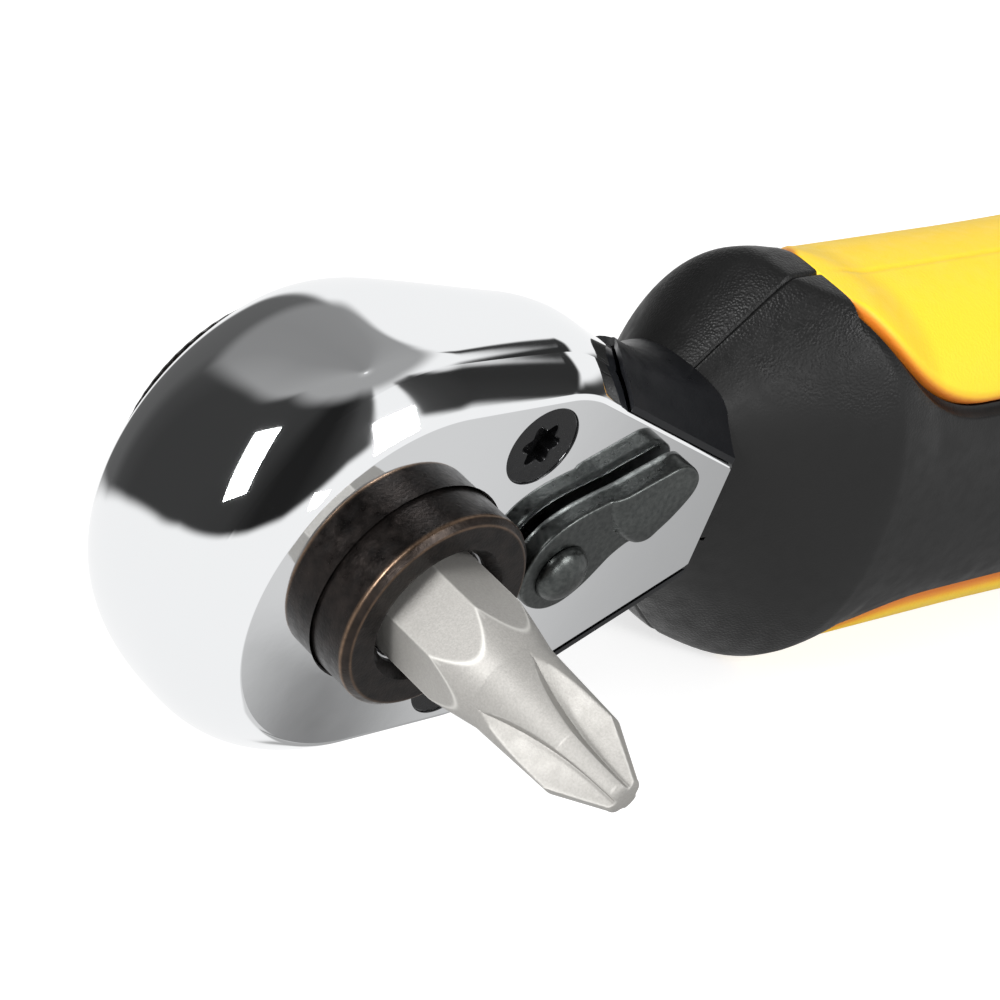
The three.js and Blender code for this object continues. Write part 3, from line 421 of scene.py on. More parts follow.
corner = np.radians(np.arange(0, 360, 7.5))
ring = TANG_HALF_DEPTH * np.sign(np.cos(corner)) * np.abs(np.cos(corner)) ** TANG_CORNER
side = TANG_HALF_WIDTH * np.sign(np.sin(corner)) * np.abs(np.sin(corner)) ** TANG_CORNER
tang_x = np.array([26.5, 26.5, 63.6, 64.0, 64.0])[:, None]
tang_scale = np.array([0, 1, 1, 0.9, 0])[:, None]
tang = np.stack([tang_x + 0 * corner, HANDLE_AXIS_Y + tang_scale * ring, tang_scale * side], -1)
grid_piece("head_tang", tang, "head", [], "chrome", chrome)

# %% [markdown]
# The cover is a flat plate with a slightly broken edge. Its face has to mirror like a real flat surface,
# so it is one flat triangulation between the outline and the four holes, with its edge curve as separate
# rings.

# %% Cover plate
EDGE = 0.18
SCREW_X, SCREW_Z = 6.84, 8.35
PIVOT_X = 10.7
HOLDER_HOLE = [(6.75, 0), (6.65, 0.1), (6.65, COVER_DEPTH)]
PIVOT_HOLE = [(2.0, 0), (2.0, COVER_DEPTH)]
COUNTERSINK = [(2.62, 0), (2.61, 0.25), (1.5, 1.5), (1.5, COVER_DEPTH)]
HOLES = [((0, 0), HOLDER_HOLE), ((PIVOT_X, 0), PIVOT_HOLE),
         ((SCREW_X, SCREW_Z), COUNTERSINK), ((SCREW_X, -SCREW_Z), COUNTERSINK)]
HOLE_SHARE = 0.9985  # the sides of a hole are straight between its points, so they lie inside its radius
SLIVER = 1e-4  # twice the least area of a triangle

cover_outline = drop_outline(TAIL_X)
bend = np.radians(np.linspace(0, 90, 9))
rim_depth = np.concatenate([EDGE * (1 - np.cos(bend)), np.linspace(EDGE, COVER_DEPTH, 14)[1:]])
rim = head_rings(rim_depth, cover_outline)
inset = EDGE * (1 - np.sin(bend))[:, None]
rim[: len(bend), :, 0] -= inset * cover_outline[1][None, :, 0]
rim[: len(bend), :, 2] -= inset * cover_outline[1][None, :, 1]


def hole_wall(centre, steps):
    """The wall of a round hole, from its radius at each depth."""
    turn = np.radians(np.arange(0, 360, 5))
    return np.stack([turned(np.full_like(turn, r), y, turn, centre) for r, y in steps])


def flat_face(loops, holes, y):
    """Triangles of a flat face between an outer loop and round holes. Those outside the loop, by the number
    of times a line to the right of their middle crosses it, those inside a hole and slivers are left out."""
    loops = [loop[:, [0, 2]] for loop in loops]
    edges, start = [], 0
    for loop in loops:
        index = start + np.arange(len(loop))
        edges += zip(index.tolist(), np.roll(index, -1).tolist())
        start += len(loop)
    flat = [Vector(p) for p in np.vstack(loops)]
    made, _, triangles, *_ = delaunay_2d_cdt(flat, edges, [], 0, 1e-7)
    made, triangles = np.array([tuple(p) for p in made]), np.array(triangles)
    middle = made[triangles].mean(axis=1)
    a, b = loops[0], np.roll(loops[0], -1, 0)
    beside = (a[:, 1] > middle[:, None, 1]) != (b[:, 1] > middle[:, None, 1])
    rise = np.where(a[:, 1] == b[:, 1], 1, (b - a)[:, 1])
    cut_x = a[:, 0] + (b - a)[:, 0] * (middle[:, None, 1] - a[:, 1]) / rise
    keep = (beside & (middle[:, None, 0] < cut_x)).sum(axis=1) % 2 == 1
    one, two = (made[triangles[:, k]] - made[triangles[:, 0]] for k in (1, 2))
    keep &= np.abs(one[:, 0] * two[:, 1] - one[:, 1] * two[:, 0]) > SLIVER
    for (x, z), radius in holes:
        keep &= np.hypot(middle[:, 0] - x, middle[:, 1] - z) > radius * HOLE_SHARE
    return np.stack([made[:, 0], np.full(len(made), y), made[:, 1]], -1), triangles[keep]


walls = [hole_wall(centre, steps) for centre, steps in HOLES]
front = flat_face([rim[0]] + [w[0] for w in walls], [(c, s[0][0]) for c, s in HOLES], 0.0)
rear = flat_face([rim[-1]] + [w[-1] for w in walls], [(c, s[-1][0]) for c, s in HOLES], COVER_DEPTH)
sheets = [front, rear] + [(g.reshape(-1, 3), grid_faces(*g.shape[:2], False, True)) for g in [rim, *walls]]
starts = np.cumsum([0] + [len(points) for points, _ in sheets])
plate_faces = []
for (_, faces), start in zip(sheets, starts):
    plate_faces += (np.asarray(faces) + start).tolist()
make_piece("cover_plate_face", np.vstack([points for points, _ in sheets]), plate_faces,
           "head", ["cover_plate"], "chrome", chrome, sharp=30)

# %% [markdown]
# Two countersunk screws with six-lobe recesses hold the cover. The same turned form, facing the other
# way, holds the finger disc at the back. The recess wall follows a wave of six lobes round the axis.

# %% Screws
LOBES, LOBE_RADIUS, LOBE_WAVE = 6, 1.18, 0.22
RECESS_DEPTH, SCREW_LENGTH, SCREW_SUNK = 1.0, 7.0, 0.1
SCREW_LINE = rounded([(2.0, 0), (2.6, 0), (2.6, 0.15), (1.4, 1.4), (1.4, 6.9)], 0.12)
DISC_SCREW_TOP = 15.95


def screw_grid(centre, top, into):
    """A countersunk screw: recess floor, lobed wall, rounded rim, cone and shank, going into +y or -y."""
    angles = np.radians(np.arange(0, 360, 3))
    lobe = LOBE_RADIUS + LOBE_WAVE * np.cos(LOBES * angles)
    rows = [(0 * lobe, 0.95), (0.6 * lobe, RECESS_DEPTH), (lobe, RECESS_DEPTH),
            (lobe, 0.12), (lobe + 0.04, 0.04), (lobe + 0.12, 0)]
    rows += [(r + 0 * lobe, y) for r, y in SCREW_LINE]
    rows += [(1.1 + 0 * lobe, SCREW_LENGTH), (0 * lobe, SCREW_LENGTH)]
    return np.stack([turned(r, top + into * y, angles, centre) for r, y in rows])


for name, node, centre, top, into, body in (
    ("upper_screw", "cover_screw_upper", (SCREW_X, SCREW_Z), SCREW_SUNK, 1, "head"),
    ("lower_screw", "cover_screw_lower", (SCREW_X, -SCREW_Z), SCREW_SUNK, 1, "head"),
    ("finger_disc_screw", "disc_screw", (0, 0), DISC_SCREW_TOP, -1, "spindle"),
):
    grid_piece(name, screw_grid(centre, top, into), body, [node], "black_screw", black_screw)

# %% [markdown]
# ## Drive
# The spindle is turned from one bar: the black holder in front with a hex socket, the ratchet gear inside
# the head and the journal behind. Its radius is a function of angle in the socket and in the gear, and of
# height elsewhere.

# %% Spindle and holder
HEX_FLATS, HEX_CORNER, SOCKET_GAP = 6.35, math.radians(53.8), 0.16
SOCKET_FLOOR, MOUTH_RADIUS, LEDGE_RADIUS = 6.05, 4.5, 3.9
HOLDER_RADIUS, HOLDER_FRONT, MOUTH_BREAK = 6.55, -2.95, 0.02
TEETH, TOOTH_ROOT, TOOTH_HEIGHT = 36, 6.95, 0.65
GEAR_FRONT, GEAR_BACK = 2.5, 8.0
NOSE_LINE = rounded([(MOUTH_RADIUS, -2.93), (4.65, HOLDER_FRONT), (5.9, HOLDER_FRONT), (6.15, HOLDER_FRONT),
                     (HOLDER_RADIUS, -2.55), (HOLDER_RADIUS, -2.2), (HOLDER_RADIUS, 2.3)], 0.12, 6)
NECK_LINE = [(6.3, 2.4), (6.3, GEAR_FRONT)]
JOURNAL_LINE = [(5.0, GEAR_BACK), (5.0, 14.0), (4.8, 14.2), (0, 14.2)]


def hex_radius(angles, flats):
    """Distance from the axis to the side of a hexagon whose corners lie on the bit's corner bearing."""
    off = np.mod(angles - HEX_CORNER, math.pi / 3) - math.pi / 6
    return flats / 2 / np.cos(off)


def near(gap, width):
    """One where the gap is zero, falling off on both sides as a bell curve of the given width."""
    return np.exp(-((gap / width) ** 2))


angles = HEX_CORNER + np.radians(np.arange(0, 360, 1))
plain = np.ones_like(angles)
socket = hex_radius(angles, HEX_FLATS + SOCKET_GAP)
ledge = np.maximum(socket, LEDGE_RADIUS)
teeth = TOOTH_ROOT + TOOTH_HEIGHT * np.clip(0.5 - 0.9 * np.cos(TEETH * angles), 0, 1)
rows = [(0 * plain, SOCKET_FLOOR), (socket, SOCKET_FLOOR), (socket, -0.9), (MOUTH_RADIUS * plain, -0.92),
        (MOUTH_RADIUS * plain, -1.7), (ledge, -1.72), (ledge, -2.2),
        (MOUTH_RADIUS * plain, HOLDER_FRONT + MOUTH_BREAK)]
rows += [(r * plain, y) for r, y in [*NOSE_LINE, *NECK_LINE]]
rows += [(teeth, GEAR_FRONT), (teeth, GEAR_BACK)]
rows += [(r * plain, y) for r, y in JOURNAL_LINE]
spindle = np.stack([turned(r, y, angles) for r, y in rows])
radius, depth = np.hypot(spindle[..., 0], spindle[..., 2]), spindle[..., 1]
rubbed_rim = near(radius - 6.53, 0.07) * near(depth + 2.5, 0.1)
rubbed_front = near(radius - 6.13, 0.08) * near(depth + 2.94, 0.08)
grid_piece("bit_holder", spindle, "spindle", ["drive_spindle"], "black_oxide", black_oxide,
           marks={"wear_and_highlight": (rubbed_rim + 0.5 * rubbed_front).ravel()})

# %% [markdown]
# The finger disc spins the bit by hand from the back of the head. It is a flat turned disc with a fine
# grip of shallow flutes round its rim.

# %% Finger disc
DISC_RADIUS, DISC_BORE, DISC_FRONT, DISC_BACK = 9.15, 1.5, 14.25, 16.05
RIM_FLUTES, RIM_FLUTE_DEPTH = 60, 0.12
DISC_LINE = rounded([(DISC_BORE, DISC_FRONT), (8.75, DISC_FRONT), (DISC_RADIUS, 14.65), (DISC_RADIUS, 15.65),
                     (8.75, DISC_BACK), (3.2, DISC_BACK), (2.9, DISC_SCREW_TOP), (DISC_BORE, 14.6),
                     (DISC_BORE, DISC_FRONT)], 0.15)

angles = np.radians(np.arange(0, 360, 1))
flutes = RIM_FLUTE_DEPTH * (0.5 + 0.5 * np.cos(RIM_FLUTES * angles))
disc = np.stack([turned(r - flutes * smooth(r, 8.65, 9.05), y, angles) for r, y in DISC_LINE])
grid_piece("finger_disc", disc, "spindle", ["spin_disc"], "black_oxide", black_oxide,
           close_rows=True, marks={"wear_and_highlight": 0.0})

# %% [markdown]
# The bit is a hexagon bar turned down by a cone to a round neck and ground to a cross point. The radius
# at each angle and height is the least of three surfaces: the hexagon, the turned envelope and the four
# ground flutes. A soft minimum rounds the edges where they meet. Those edges carry a painted highlight: a
# mark stored on the mesh, strongest where two of the surfaces have the same radius, paints them light grey.

# %% Screwdriver bit
FLUTE_LENGTH, FLUTE_ROOT, NECK_ROOT, RUNOUT_POWER = 9.2, 0.65, 2.97, 2.4
TIP_START, TIP_HEIGHT, TIP_POWER = 18.7, 0.4, 0.6
BIT_BASE, RIB_HEIGHT, RIB_WIDTH, NO_FLUTE = 5.9, 0.12, 0.16, 9
# Strength of the painted highlight along the hex corners, the edge of the cone and the ground flutes.
CORNER_HIGHLIGHT, TURNED_HIGHLIGHT, GROUND_HIGHLIGHT = 0.3, 0.65, 0.4
ENVELOPE = [(-BIT_BASE, 2.95), (-5.1, 3.72), (5.9, 3.72),
            (9.5, 2.95), (15.4, 2.7), (BIT_REACH, 0.98)]  # reach from the face, turned radius


def soft_least(first, second, width):
    """The lesser of two values, rounded over the given width where they cross."""
    return -width * np.logaddexp(-first / width, -second / width)


angles = HEX_CORNER + np.radians(np.arange(0, 360, 0.9))
tip = np.radians(np.linspace(10, 90, 9))
y = np.concatenate([[BIT_BASE, BIT_BASE], np.linspace(BIT_BASE, 5.1, 4), np.linspace(4.5, -5.2, 14),
                    np.linspace(-5.3, -9.6, 64), np.linspace(-9.65, -15.2, 70),
                    np.linspace(-15.25, -TIP_START, 60), -TIP_START - TIP_HEIGHT * np.sin(tip)])
envelope = np.interp(-y, *zip(*ENVELOPE))
envelope[-len(tip):] = np.interp(TIP_START, *zip(*ENVELOPE)) * np.cos(tip) ** TIP_POWER
envelope[[0, -1]] = 0
hexagon = hex_radius(angles, HEX_FLATS)[None, :]
bar = soft_least(hexagon, np.maximum(envelope, 0.05)[:, None], 0.02)

share = np.clip((y + BIT_REACH) / FLUTE_LENGTH, 0, 1)[:, None]
root = mix(FLUTE_ROOT, NECK_ROOT, share**RUNOUT_POWER)
off = np.mod(angles - HEX_CORNER, math.pi / 2) - math.pi / 4
opening = np.maximum(np.cos(off) - np.abs(np.sin(off)), 0.02)
rib = RIB_HEIGHT * near(off, RIB_WIDTH)
flute = np.where(share < 1, root / opening[None, :] + rib * (share < 0.97), NO_FLUTE)
bit_radius = soft_least(bar, flute, 0.04)
bit_radius[[0, -1]] = 0
bit = turned(bit_radius, y[:, None], angles[None, :])

# Painted highlight: lines along the hex corners, the cone and the ground edges, stored to paint those edges
# light grey.
corner_line = near(hexagon - HEX_FLATS / math.sqrt(3), 0.035) * (y[:, None] > -7)
turned_line = near(hexagon - envelope[:, None], 0.035) * (y[:, None] < -5.5)
ground_line = near(bar - flute, 0.07) * (y[:, None] < -11)
painted_edge_highlight = CORNER_HIGHLIGHT * corner_line + TURNED_HIGHLIGHT * turned_line + GROUND_HIGHLIGHT * ground_line
grid_piece("cross_point_bit", bit, "bit", ["screwdriver_bit"], "bit_steel", bit_steel,
           marks={"wear_and_highlight": np.clip(painted_edge_highlight, 0, 1).ravel()}, sharp=50)

# %% [markdown]
# ## Reverser
# The lever is a flat arm with a round pivot end and a raised thumb pad whose far side is cut at a slant.
# Its outline is a closed smooth curve through measured points, and every ring of the surface is that
# outline drawn in by a little more, with the pad rising over its part of the arm.

# %% Lever
LEVER_TURN = math.radians(30)
LEVER_UNDER, LEVER_TOP = -0.35, -1.75
LEVER_BREAK, ROLLED = 0.12, 0.2
PAD_FRONT, PAD_BOW, PAD_MIDDLE, PAD_RUN = 4.0, 0.12, 1.6, 1.35
PAD_HIGH, PAD_LOW, PAD_TILT = 0.62, 0.24, (-0.6, 2.8)
LEVER_POINTS = 240

guide = np.array([(-2.85, 0.35), (-2.5, 1.6), (-1.7, 2.6), (-0.7, 3.2), (0.4, 3.46), (1.8, 3.46), (3.2, 3.22),
                  (4.4, 2.95), (5.3, 2.75), (6.6, 2.58), (8.1, 2.37), (9.15, 2.2), (9.85, 1.75), (10.2, 1.0),
                  (10.1, 0.3), (9.45, -0.35), (7.95, -1.1), (6.8, -1.45), (6.0, -1.7), (5.4, -1.72),
                  (4.8, -1.58), (3.7, -1.74), (2.85, -2.08), (2.05, -2.42), (1.3, -2.66), (0.5, -2.8),
                  (-0.4, -2.78), (-1.35, -2.42), (-2.15, -1.7), (-2.7, -0.75)])


def closed_curve(knots, count):
    """A closed smooth curve through the knots: Catmull-Rom pieces, each a cubic of its four nearest knots."""
    t = np.linspace(0, len(knots), count, endpoint=False)
    k = t.astype(int)
    f = (t - k)[:, None]
    a, b, c, d = (knots[(k + step) % len(knots)] for step in (-1, 0, 1, 2))
    return 0.5 * (2 * b + (c - a) * f + (2 * a - 5 * b + 4 * c - d) * f**2 + (3 * b - a - 3 * c + d) * f**3)


edge = closed_curve(guide, LEVER_POINTS)
along = np.roll(edge, -1, 0) - np.roll(edge, 1, 0)
outward = np.stack([-along[:, 1], along[:, 0]], -1) / np.linalg.norm(along, axis=1)[:, None]
middle = np.broadcast_to((4.6, 0.7), edge.shape)


def lever_height(place, inset):
    """Height of the top: a flat arm, then a pad whose front swells like a bulb along a curved line. The pad
    is higher on its lower side, and every edge is rolled by a quarter circle."""
    x, z = place[:, 0], place[:, 1]
    rise = np.clip((x - PAD_FRONT - PAD_BOW * (z - PAD_MIDDLE) ** 2) / PAD_RUN, 0, 1)
    pad = mix(PAD_HIGH, PAD_LOW, smooth(z, *PAD_TILT)) * np.sqrt(1 - (1 - rise) ** 2)
    roll = ROLLED * (1 - np.sqrt(np.clip(1 - (1 - np.clip(inset / ROLLED, 0, 1)) ** 2, 0, 1)))
    return LEVER_TOP - pad + roll


under = np.full(LEVER_POINTS, LEVER_UNDER)
rows = [(middle, under), (edge - LEVER_BREAK * outward, under), (edge, under - LEVER_BREAK)]
rows += [(edge, mix(under - LEVER_BREAK, lever_height(edge, 0.0), s)) for s in (0.3, 0.6, 0.9)]
for inset in ROLLED * (1 - np.cos(np.linspace(0, math.pi / 2, 7))):
    rows.append((edge - inset * outward, lever_height(edge - inset * outward, inset)))
for s in np.linspace(0, 1, 40)[1:]:
    flat = mix(edge - ROLLED * outward, middle, s)
    rows.append((flat, lever_height(flat, 1.0)))
place, height = (np.stack(part) for part in zip(*rows))
cos_turn, sin_turn = math.cos(LEVER_TURN), math.sin(LEVER_TURN)
lever_x = PIVOT_X + place[..., 0] * cos_turn - place[..., 1] * sin_turn
lever_z = place[..., 0] * sin_turn + place[..., 1] * cos_turn
lever = np.stack([lever_x, height, lever_z], -1)
grid_piece("direction_lever", lever, "lever", ["reverser_lever"], "gunmetal", gunmetal, sharp=50)

# %% [markdown]
# The lever turns with a riveted shaft. Its head is a dome on the pivot end, and the shaft below goes
# through the cover to the sprung plunger.

# %% Lever shaft
RIVET_RADIUS, RIVET_HEIGHT, RIVET_SEAT = 1.85, 1.05, 0.05
SHAFT_LINE = [(1.8, LEVER_TOP), (1.8, 7.3), (1.3, 7.4), (1.3, 9.6), (0, 9.6)]

angles = np.radians(np.arange(0, 360, 5))
cap = np.radians(np.linspace(90, 0, 12))
line = [(RIVET_RADIUS * math.cos(a), LEVER_TOP - RIVET_SEAT - RIVET_HEIGHT * math.sin(a)) for a in cap]
shaft = np.stack([turned(r + 0 * angles, y, angles, (PIVOT_X, 0)) for r, y in line + SHAFT_LINE])
grid_piece("lever_rivet", shaft, "lever", ["lever_shaft"], "gunmetal", gunmetal)

# %% [markdown]
# ## Neck and handle
# A smooth moulded collar wraps the neck of the head and leaves the flat face open. Its section runs from
# the face round one side, across the back and up the other side. Its front edge slants away from the
# face, and its wall grows thicker toward the handle.

# %% Collar
COLLAR_EDGE = [(0, 13.4), (2, 13.8), (4, 14.4), (6, 15.6), (8, 17.2), (10, 18.7), (14, 19.0)]  # level, x
COLLAR_END, COLLAR_TUCK = 25.2, 1.4
COLLAR_INSIDE, COLLAR_OUTSIDE, COLLAR_THICKER = 0.15, 0.55, 1.1
levels = np.concatenate([np.linspace(0, WIDEST_DEPTH, 16), return_levels[4::4]])
lengths = np.linspace(0, 1, 30)


def collar_skin(grow, thicker=0.0):
    """Side skin of the neck at each level and length, from the slanted front edge to the handle, moved out by
    grow and by a little more toward the handle."""
    level, length = np.meshgrid(levels, lengths, indexing="ij")
    grow = grow + thicker * smooth(length, 0.1, 0.8) * smooth(level, 0, 3)
    end = COLLAR_END + COLLAR_TUCK * smooth(level, 1.5, 4)
    x = mix(np.interp(level, *zip(*COLLAR_EDGE)), end, length)
    foot = x.copy()
    for _ in range(4):
        foot = x - math.sin(TAPER) * (swell(level, foot) + grow)
    half = FACE_HALF_WIDTH - (foot - SHOULDER_X) * math.tan(TAPER)
    z = soft_flat(half + math.cos(TAPER) * (swell(level, foot) + grow))
    return np.stack([x, true_depth(level, x, grow), z], -1)


def wrapped(side):
    """The side skin, a flat crossing of the back and the mirrored side skin, as one sheet."""
    other = side[::-1] * (1, 1, -1)
    cross = mix(side[-1:], other[:1], np.linspace(0, 1, 9)[1:-1, None, None])
    return np.concatenate([side, cross, other])


outer, inner = wrapped(collar_skin(COLLAR_OUTSIDE, COLLAR_THICKER)), wrapped(collar_skin(COLLAR_INSIDE))
collar = np.concatenate([outer, inner[:, ::-1]], axis=1)
count = collar.shape[1]
pairs = np.arange(count // 2 - 1)
caps = [np.stack([row + pairs, row + pairs + 1, row + count - 2 - pairs, row + count - 1 - pairs], -1)
        for row in (0, (collar.shape[0] - 1) * count)]
make_piece("neck_collar", collar, np.vstack([grid_faces(*collar.shape[:2], False, True), *caps]),
           "head", ["nose_collar"], "collar_plastic", collar_plastic)

# %% [markdown]
# The handle is one long rounded section that flares quickly behind the neck. The flare leans: its front
# face slants back toward the grip and its top leans a little toward the head. The section is a
# superellipse at each station.

# %% Handle section
FLARE_START, FLARE_FULL, SETTLE_END, SLANT_END = 23.2, 32.0, 38.0, 43.0
BUTT_START, HANDLE_END = 86.0, 98.0
BUTT_LENGTH = HANDLE_END - BUTT_START
FLARE_HALF_HEIGHT, GRIP_HALF_HEIGHT, REAR_HALF_HEIGHT, REAR_SWELL = 14.4, 13.3, 14.2, (49.8, 82)
ROOT_HALF_HEIGHT, ROOT_HALF_DEPTH, GRIP_HALF_DEPTH = 6.6, 4.2, 9.5
ROUNDNESS = 2 / 2.3
ROOT_LEAN, FRONT_LEAN, BACK_LEAN, TOP_LEAN = 0.8, 0.5, 0.25, 0.09


def handle_size(station):
    """Half height and half depth of the handle: flare, settle to the grip, slow swell, rounded butt."""
    rise = np.clip((station - FLARE_START) / (FLARE_FULL - FLARE_START), 0, 1)
    flare = (8 * rise - rise**8) / 7
    grip = mix(GRIP_HALF_HEIGHT, REAR_HALF_HEIGHT, smooth(station, *REAR_SWELL))
    high = mix(FLARE_HALF_HEIGHT, grip, smooth(station, FLARE_FULL, SETTLE_END))
    past = np.clip((station - BUTT_START) / BUTT_LENGTH, 0, 1)
    butt = np.sqrt(np.clip(1 - past**2, 0, 1))
    return mix(ROOT_HALF_HEIGHT, high, flare) * butt, mix(ROOT_HALF_DEPTH, GRIP_HALF_DEPTH, flare) * butt


def section_point(station, angle, grow):
    """Distances from the handle axis to the skin at a station, and how far the skin leans along the tool."""
    high, deep = handle_size(station)
    c, s = np.cos(angle), np.sin(angle)
    y = np.maximum(deep + grow, 0) * np.sign(c) * np.abs(c) ** ROUNDNESS
    z = np.maximum(high + grow, 0) * np.sign(s) * np.abs(s) ** ROUNDNESS
    front = mix(ROOT_LEAN, FRONT_LEAN, smooth(station, FLARE_START, FLARE_FULL))
    lean = np.where(y < 0, front, BACK_LEAN) * y + TOP_LEAN * z
    return y, z, (1 - smooth(station, FLARE_FULL, SLANT_END)) * lean


def handle_point(x, angle, grow=0.0):
    """Point of the handle skin on the plane x. Its station is x plus the lean, found by repeated
    substitution."""
    station = x + 0 * angle
    for _ in range(40):
        station = np.clip(x + section_point(station, angle, 0 * angle)[2], FLARE_START, HANDLE_END)
    lean = section_point(station, angle, 0 * angle)[2]
    y, z, _ = section_point(station, angle, grow)
    skin_z = soft_flat(z, SIDE_FLAT + np.minimum(grow, 0))
    return np.stack(np.broadcast_arrays(station - lean, HANDLE_AXIS_Y + y, skin_z), -1)


print("the handle is", round(HANDLE_END - FLARE_START, 1), "mm long")

# %% [markdown]
# Seen from the front, each yellow inlay starts at the crest of the flare, sweeps down in a curve, runs
# straight along the grip and sweeps back up to the crest near the butt. On every plane across the tool
# the angle at which the skin meets that line is found once, so that the grids of the handle and of the
# inlay share one clean border.

# %% Border of the inlays
INLAY_START, INLAY_END, SWEEP, INLAY_EDGE, CREST = 33.5, 89.0, 11.8, 8.1, 13.85
FRONT, BACK = -1, 1
NO_BORDER = 99
butt_turn = np.linspace(math.asin(4.2 / BUTT_LENGTH), math.pi / 2, 18)
planes = np.concatenate([np.linspace(20.0, 31.0, 90), np.linspace(31.1, 47.0, 140),
                         np.linspace(47.6, 76.0, 36), np.linspace(76.3, 90.0, 60),
                         BUTT_START + BUTT_LENGTH * np.sin(butt_turn)])


def border_line(side):
    """Height of the inlay's border along the tool, from two sweeps and a straight run."""
    start = INLAY_START - side * TOP_LEAN * FLARE_HALF_HEIGHT
    t = np.linspace(0, 1, 60)[:, None]

    def sweep(a, b, c, d):
        """A cubic curve from a to d that leaves toward b and arrives from c."""
        a, b, c, d = map(np.array, (a, b, c, d))
        return (1 - t) ** 3 * a + 3 * (1 - t) ** 2 * t * b + 3 * (1 - t) * t**2 * c + t**3 * d

    first = sweep((start, CREST), (start + 0.25 * SWEEP, mix(INLAY_EDGE, CREST, 0.75)),
                  (start + 0.45 * SWEEP, INLAY_EDGE), (start + SWEEP, INLAY_EDGE))
    last = sweep((INLAY_END - SWEEP, INLAY_EDGE), (INLAY_END - 0.4 * SWEEP, INLAY_EDGE),
                 (INLAY_END - 0.1 * SWEEP, mix(INLAY_EDGE, CREST, 0.5)), (INLAY_END, CREST))
    return np.vstack([first, last])


def skin_angle(side, face, off):
    """Angle on the section of a place that lies off from the crest toward the front or the back."""
    return side * (math.pi / 2 - face * off)


def border_angle(side, face):
    """Angle from the crest at which the skin crosses the border, on each plane; zero where there is none."""
    line = border_line(side)
    off = np.linspace(0, math.pi / 2, 1200)[None, :]
    points = handle_point(planes[:, None], skin_angle(side, face, off))
    limit = np.interp(points[..., 0], line[:, 0], line[:, 1], left=NO_BORDER, right=NO_BORDER)
    inside = np.abs(points[..., 2]) >= limit
    last = np.where(inside.any(axis=1), off.shape[1] - 1 - np.argmax(inside[:, ::-1], axis=1), 0)
    return off[0, last]


borders = {(side, face): border_angle(side, face) for side in (1, -1) for face in (FRONT, BACK)}
opened = {side: (borders[side, FRONT] > 0) & (borders[side, BACK] > 0) for side in (1, -1)}
print("widest inlay half angle", round(float(np.degrees(max(b.max() for b in borders.values()))), 1))

# %% [markdown]
# The black moulding dips into a narrow lip beside each inlay and drops to the floor of the pocket under
# it. Beyond the ends of an inlay the same columns run on at skin level, and a fine groove along the crest
# is the parting line of the mould.

# %% Handle moulding
POCKET = -1.6
LIP = [(2.2, 0.0), (1.05, 0.0), (0.85, -0.1), (0.6, -0.42), (0.12, -0.5), (0.0, POCKET)]  # from border, depth
GROOVE = [(-0.02, 0.0), (-0.01, -0.04), (0.0, -0.32), (0.01, -0.04), (0.02, 0.0)]  # angle, depth
FADE_BEFORE, FADE_AFTER, LEAST_ANGLE = 6, 4, 0.08
SIDE_COLUMNS, FLOOR_COLUMNS = 46, 6
GRAIN_RISE, GRAIN_FADE, GRAIN_LOSS = (6.0, 10.5), (38, 46), 0.6  # over the height, along the tool


def held_border(side, face):
    """The border angle, drawn slowly to the crest beyond both ends of the inlay, so columns never jump."""
    here, there = borders[side, face], np.flatnonzero(opened[side])
    first, last = there[0], there[-1]
    before = here[first] * smooth(planes, planes[first] - FADE_BEFORE, planes[first])
    after = here[last] * (1 - smooth(planes, planes[last], planes[last] + FADE_AFTER))
    row = np.arange(len(planes))
    return np.maximum(np.where(row < first, before, np.where(row > last, after, here)), LEAST_ANGLE)


def arm_length(side, face):
    """Millimetres on the skin for one radian of section angle, near the border."""
    here = held_border(side, face)
    a = handle_point(planes, skin_angle(side, face, here + 0.02))
    b = handle_point(planes, skin_angle(side, face, here + 0.03))
    return np.maximum(np.linalg.norm(a - b, axis=1) / 0.01, 4.0)


def lip_columns(side, face):
    """Columns from the plain skin down to the pocket beside one border, as angles and depths."""
    here, arm = held_border(side, face), arm_length(side, face)
    return [(skin_angle(side, face, here + step / arm), depth * opened[side]) for step, depth in LIP]


def between(first, second, count, *values):
    """Columns evenly spread between two angles, without the ends, each with the given values."""
    return [(mix(first, second, s), *values) for s in np.linspace(0, 1, count + 2)[1:-1]]


def side_columns(face):
    """Columns of one plain side of the handle, from the upper lip to the lower lip, with rising angle."""
    upper, lower = lip_columns(1, face), lip_columns(-1, face)
    if face == BACK:
        columns = lower[::-1] + between(lower[0][0], upper[0][0], SIDE_COLUMNS, 0.0) + upper
        return [(angle + 2 * math.pi, depth) for angle, depth in columns]
    lower = [(angle + 2 * math.pi, depth) for angle, depth in lower]
    return upper[::-1] + between(upper[0][0], lower[0][0], SIDE_COLUMNS, 0.0) + lower


def crest_columns(first, second, crest, side):
    """Columns from one lip over the crest to the other: a pocket floor, or plain skin with its groove."""
    groove = [(crest + off + 0 * planes, mix(depth, POCKET, opened[side])) for off, depth in GROOVE]
    floor = POCKET * opened[side]
    rise = between(first[0], groove[0][0], FLOOR_COLUMNS, floor)
    return rise + groove + between(groove[-1][0], second[0], FLOOR_COLUMNS, floor)


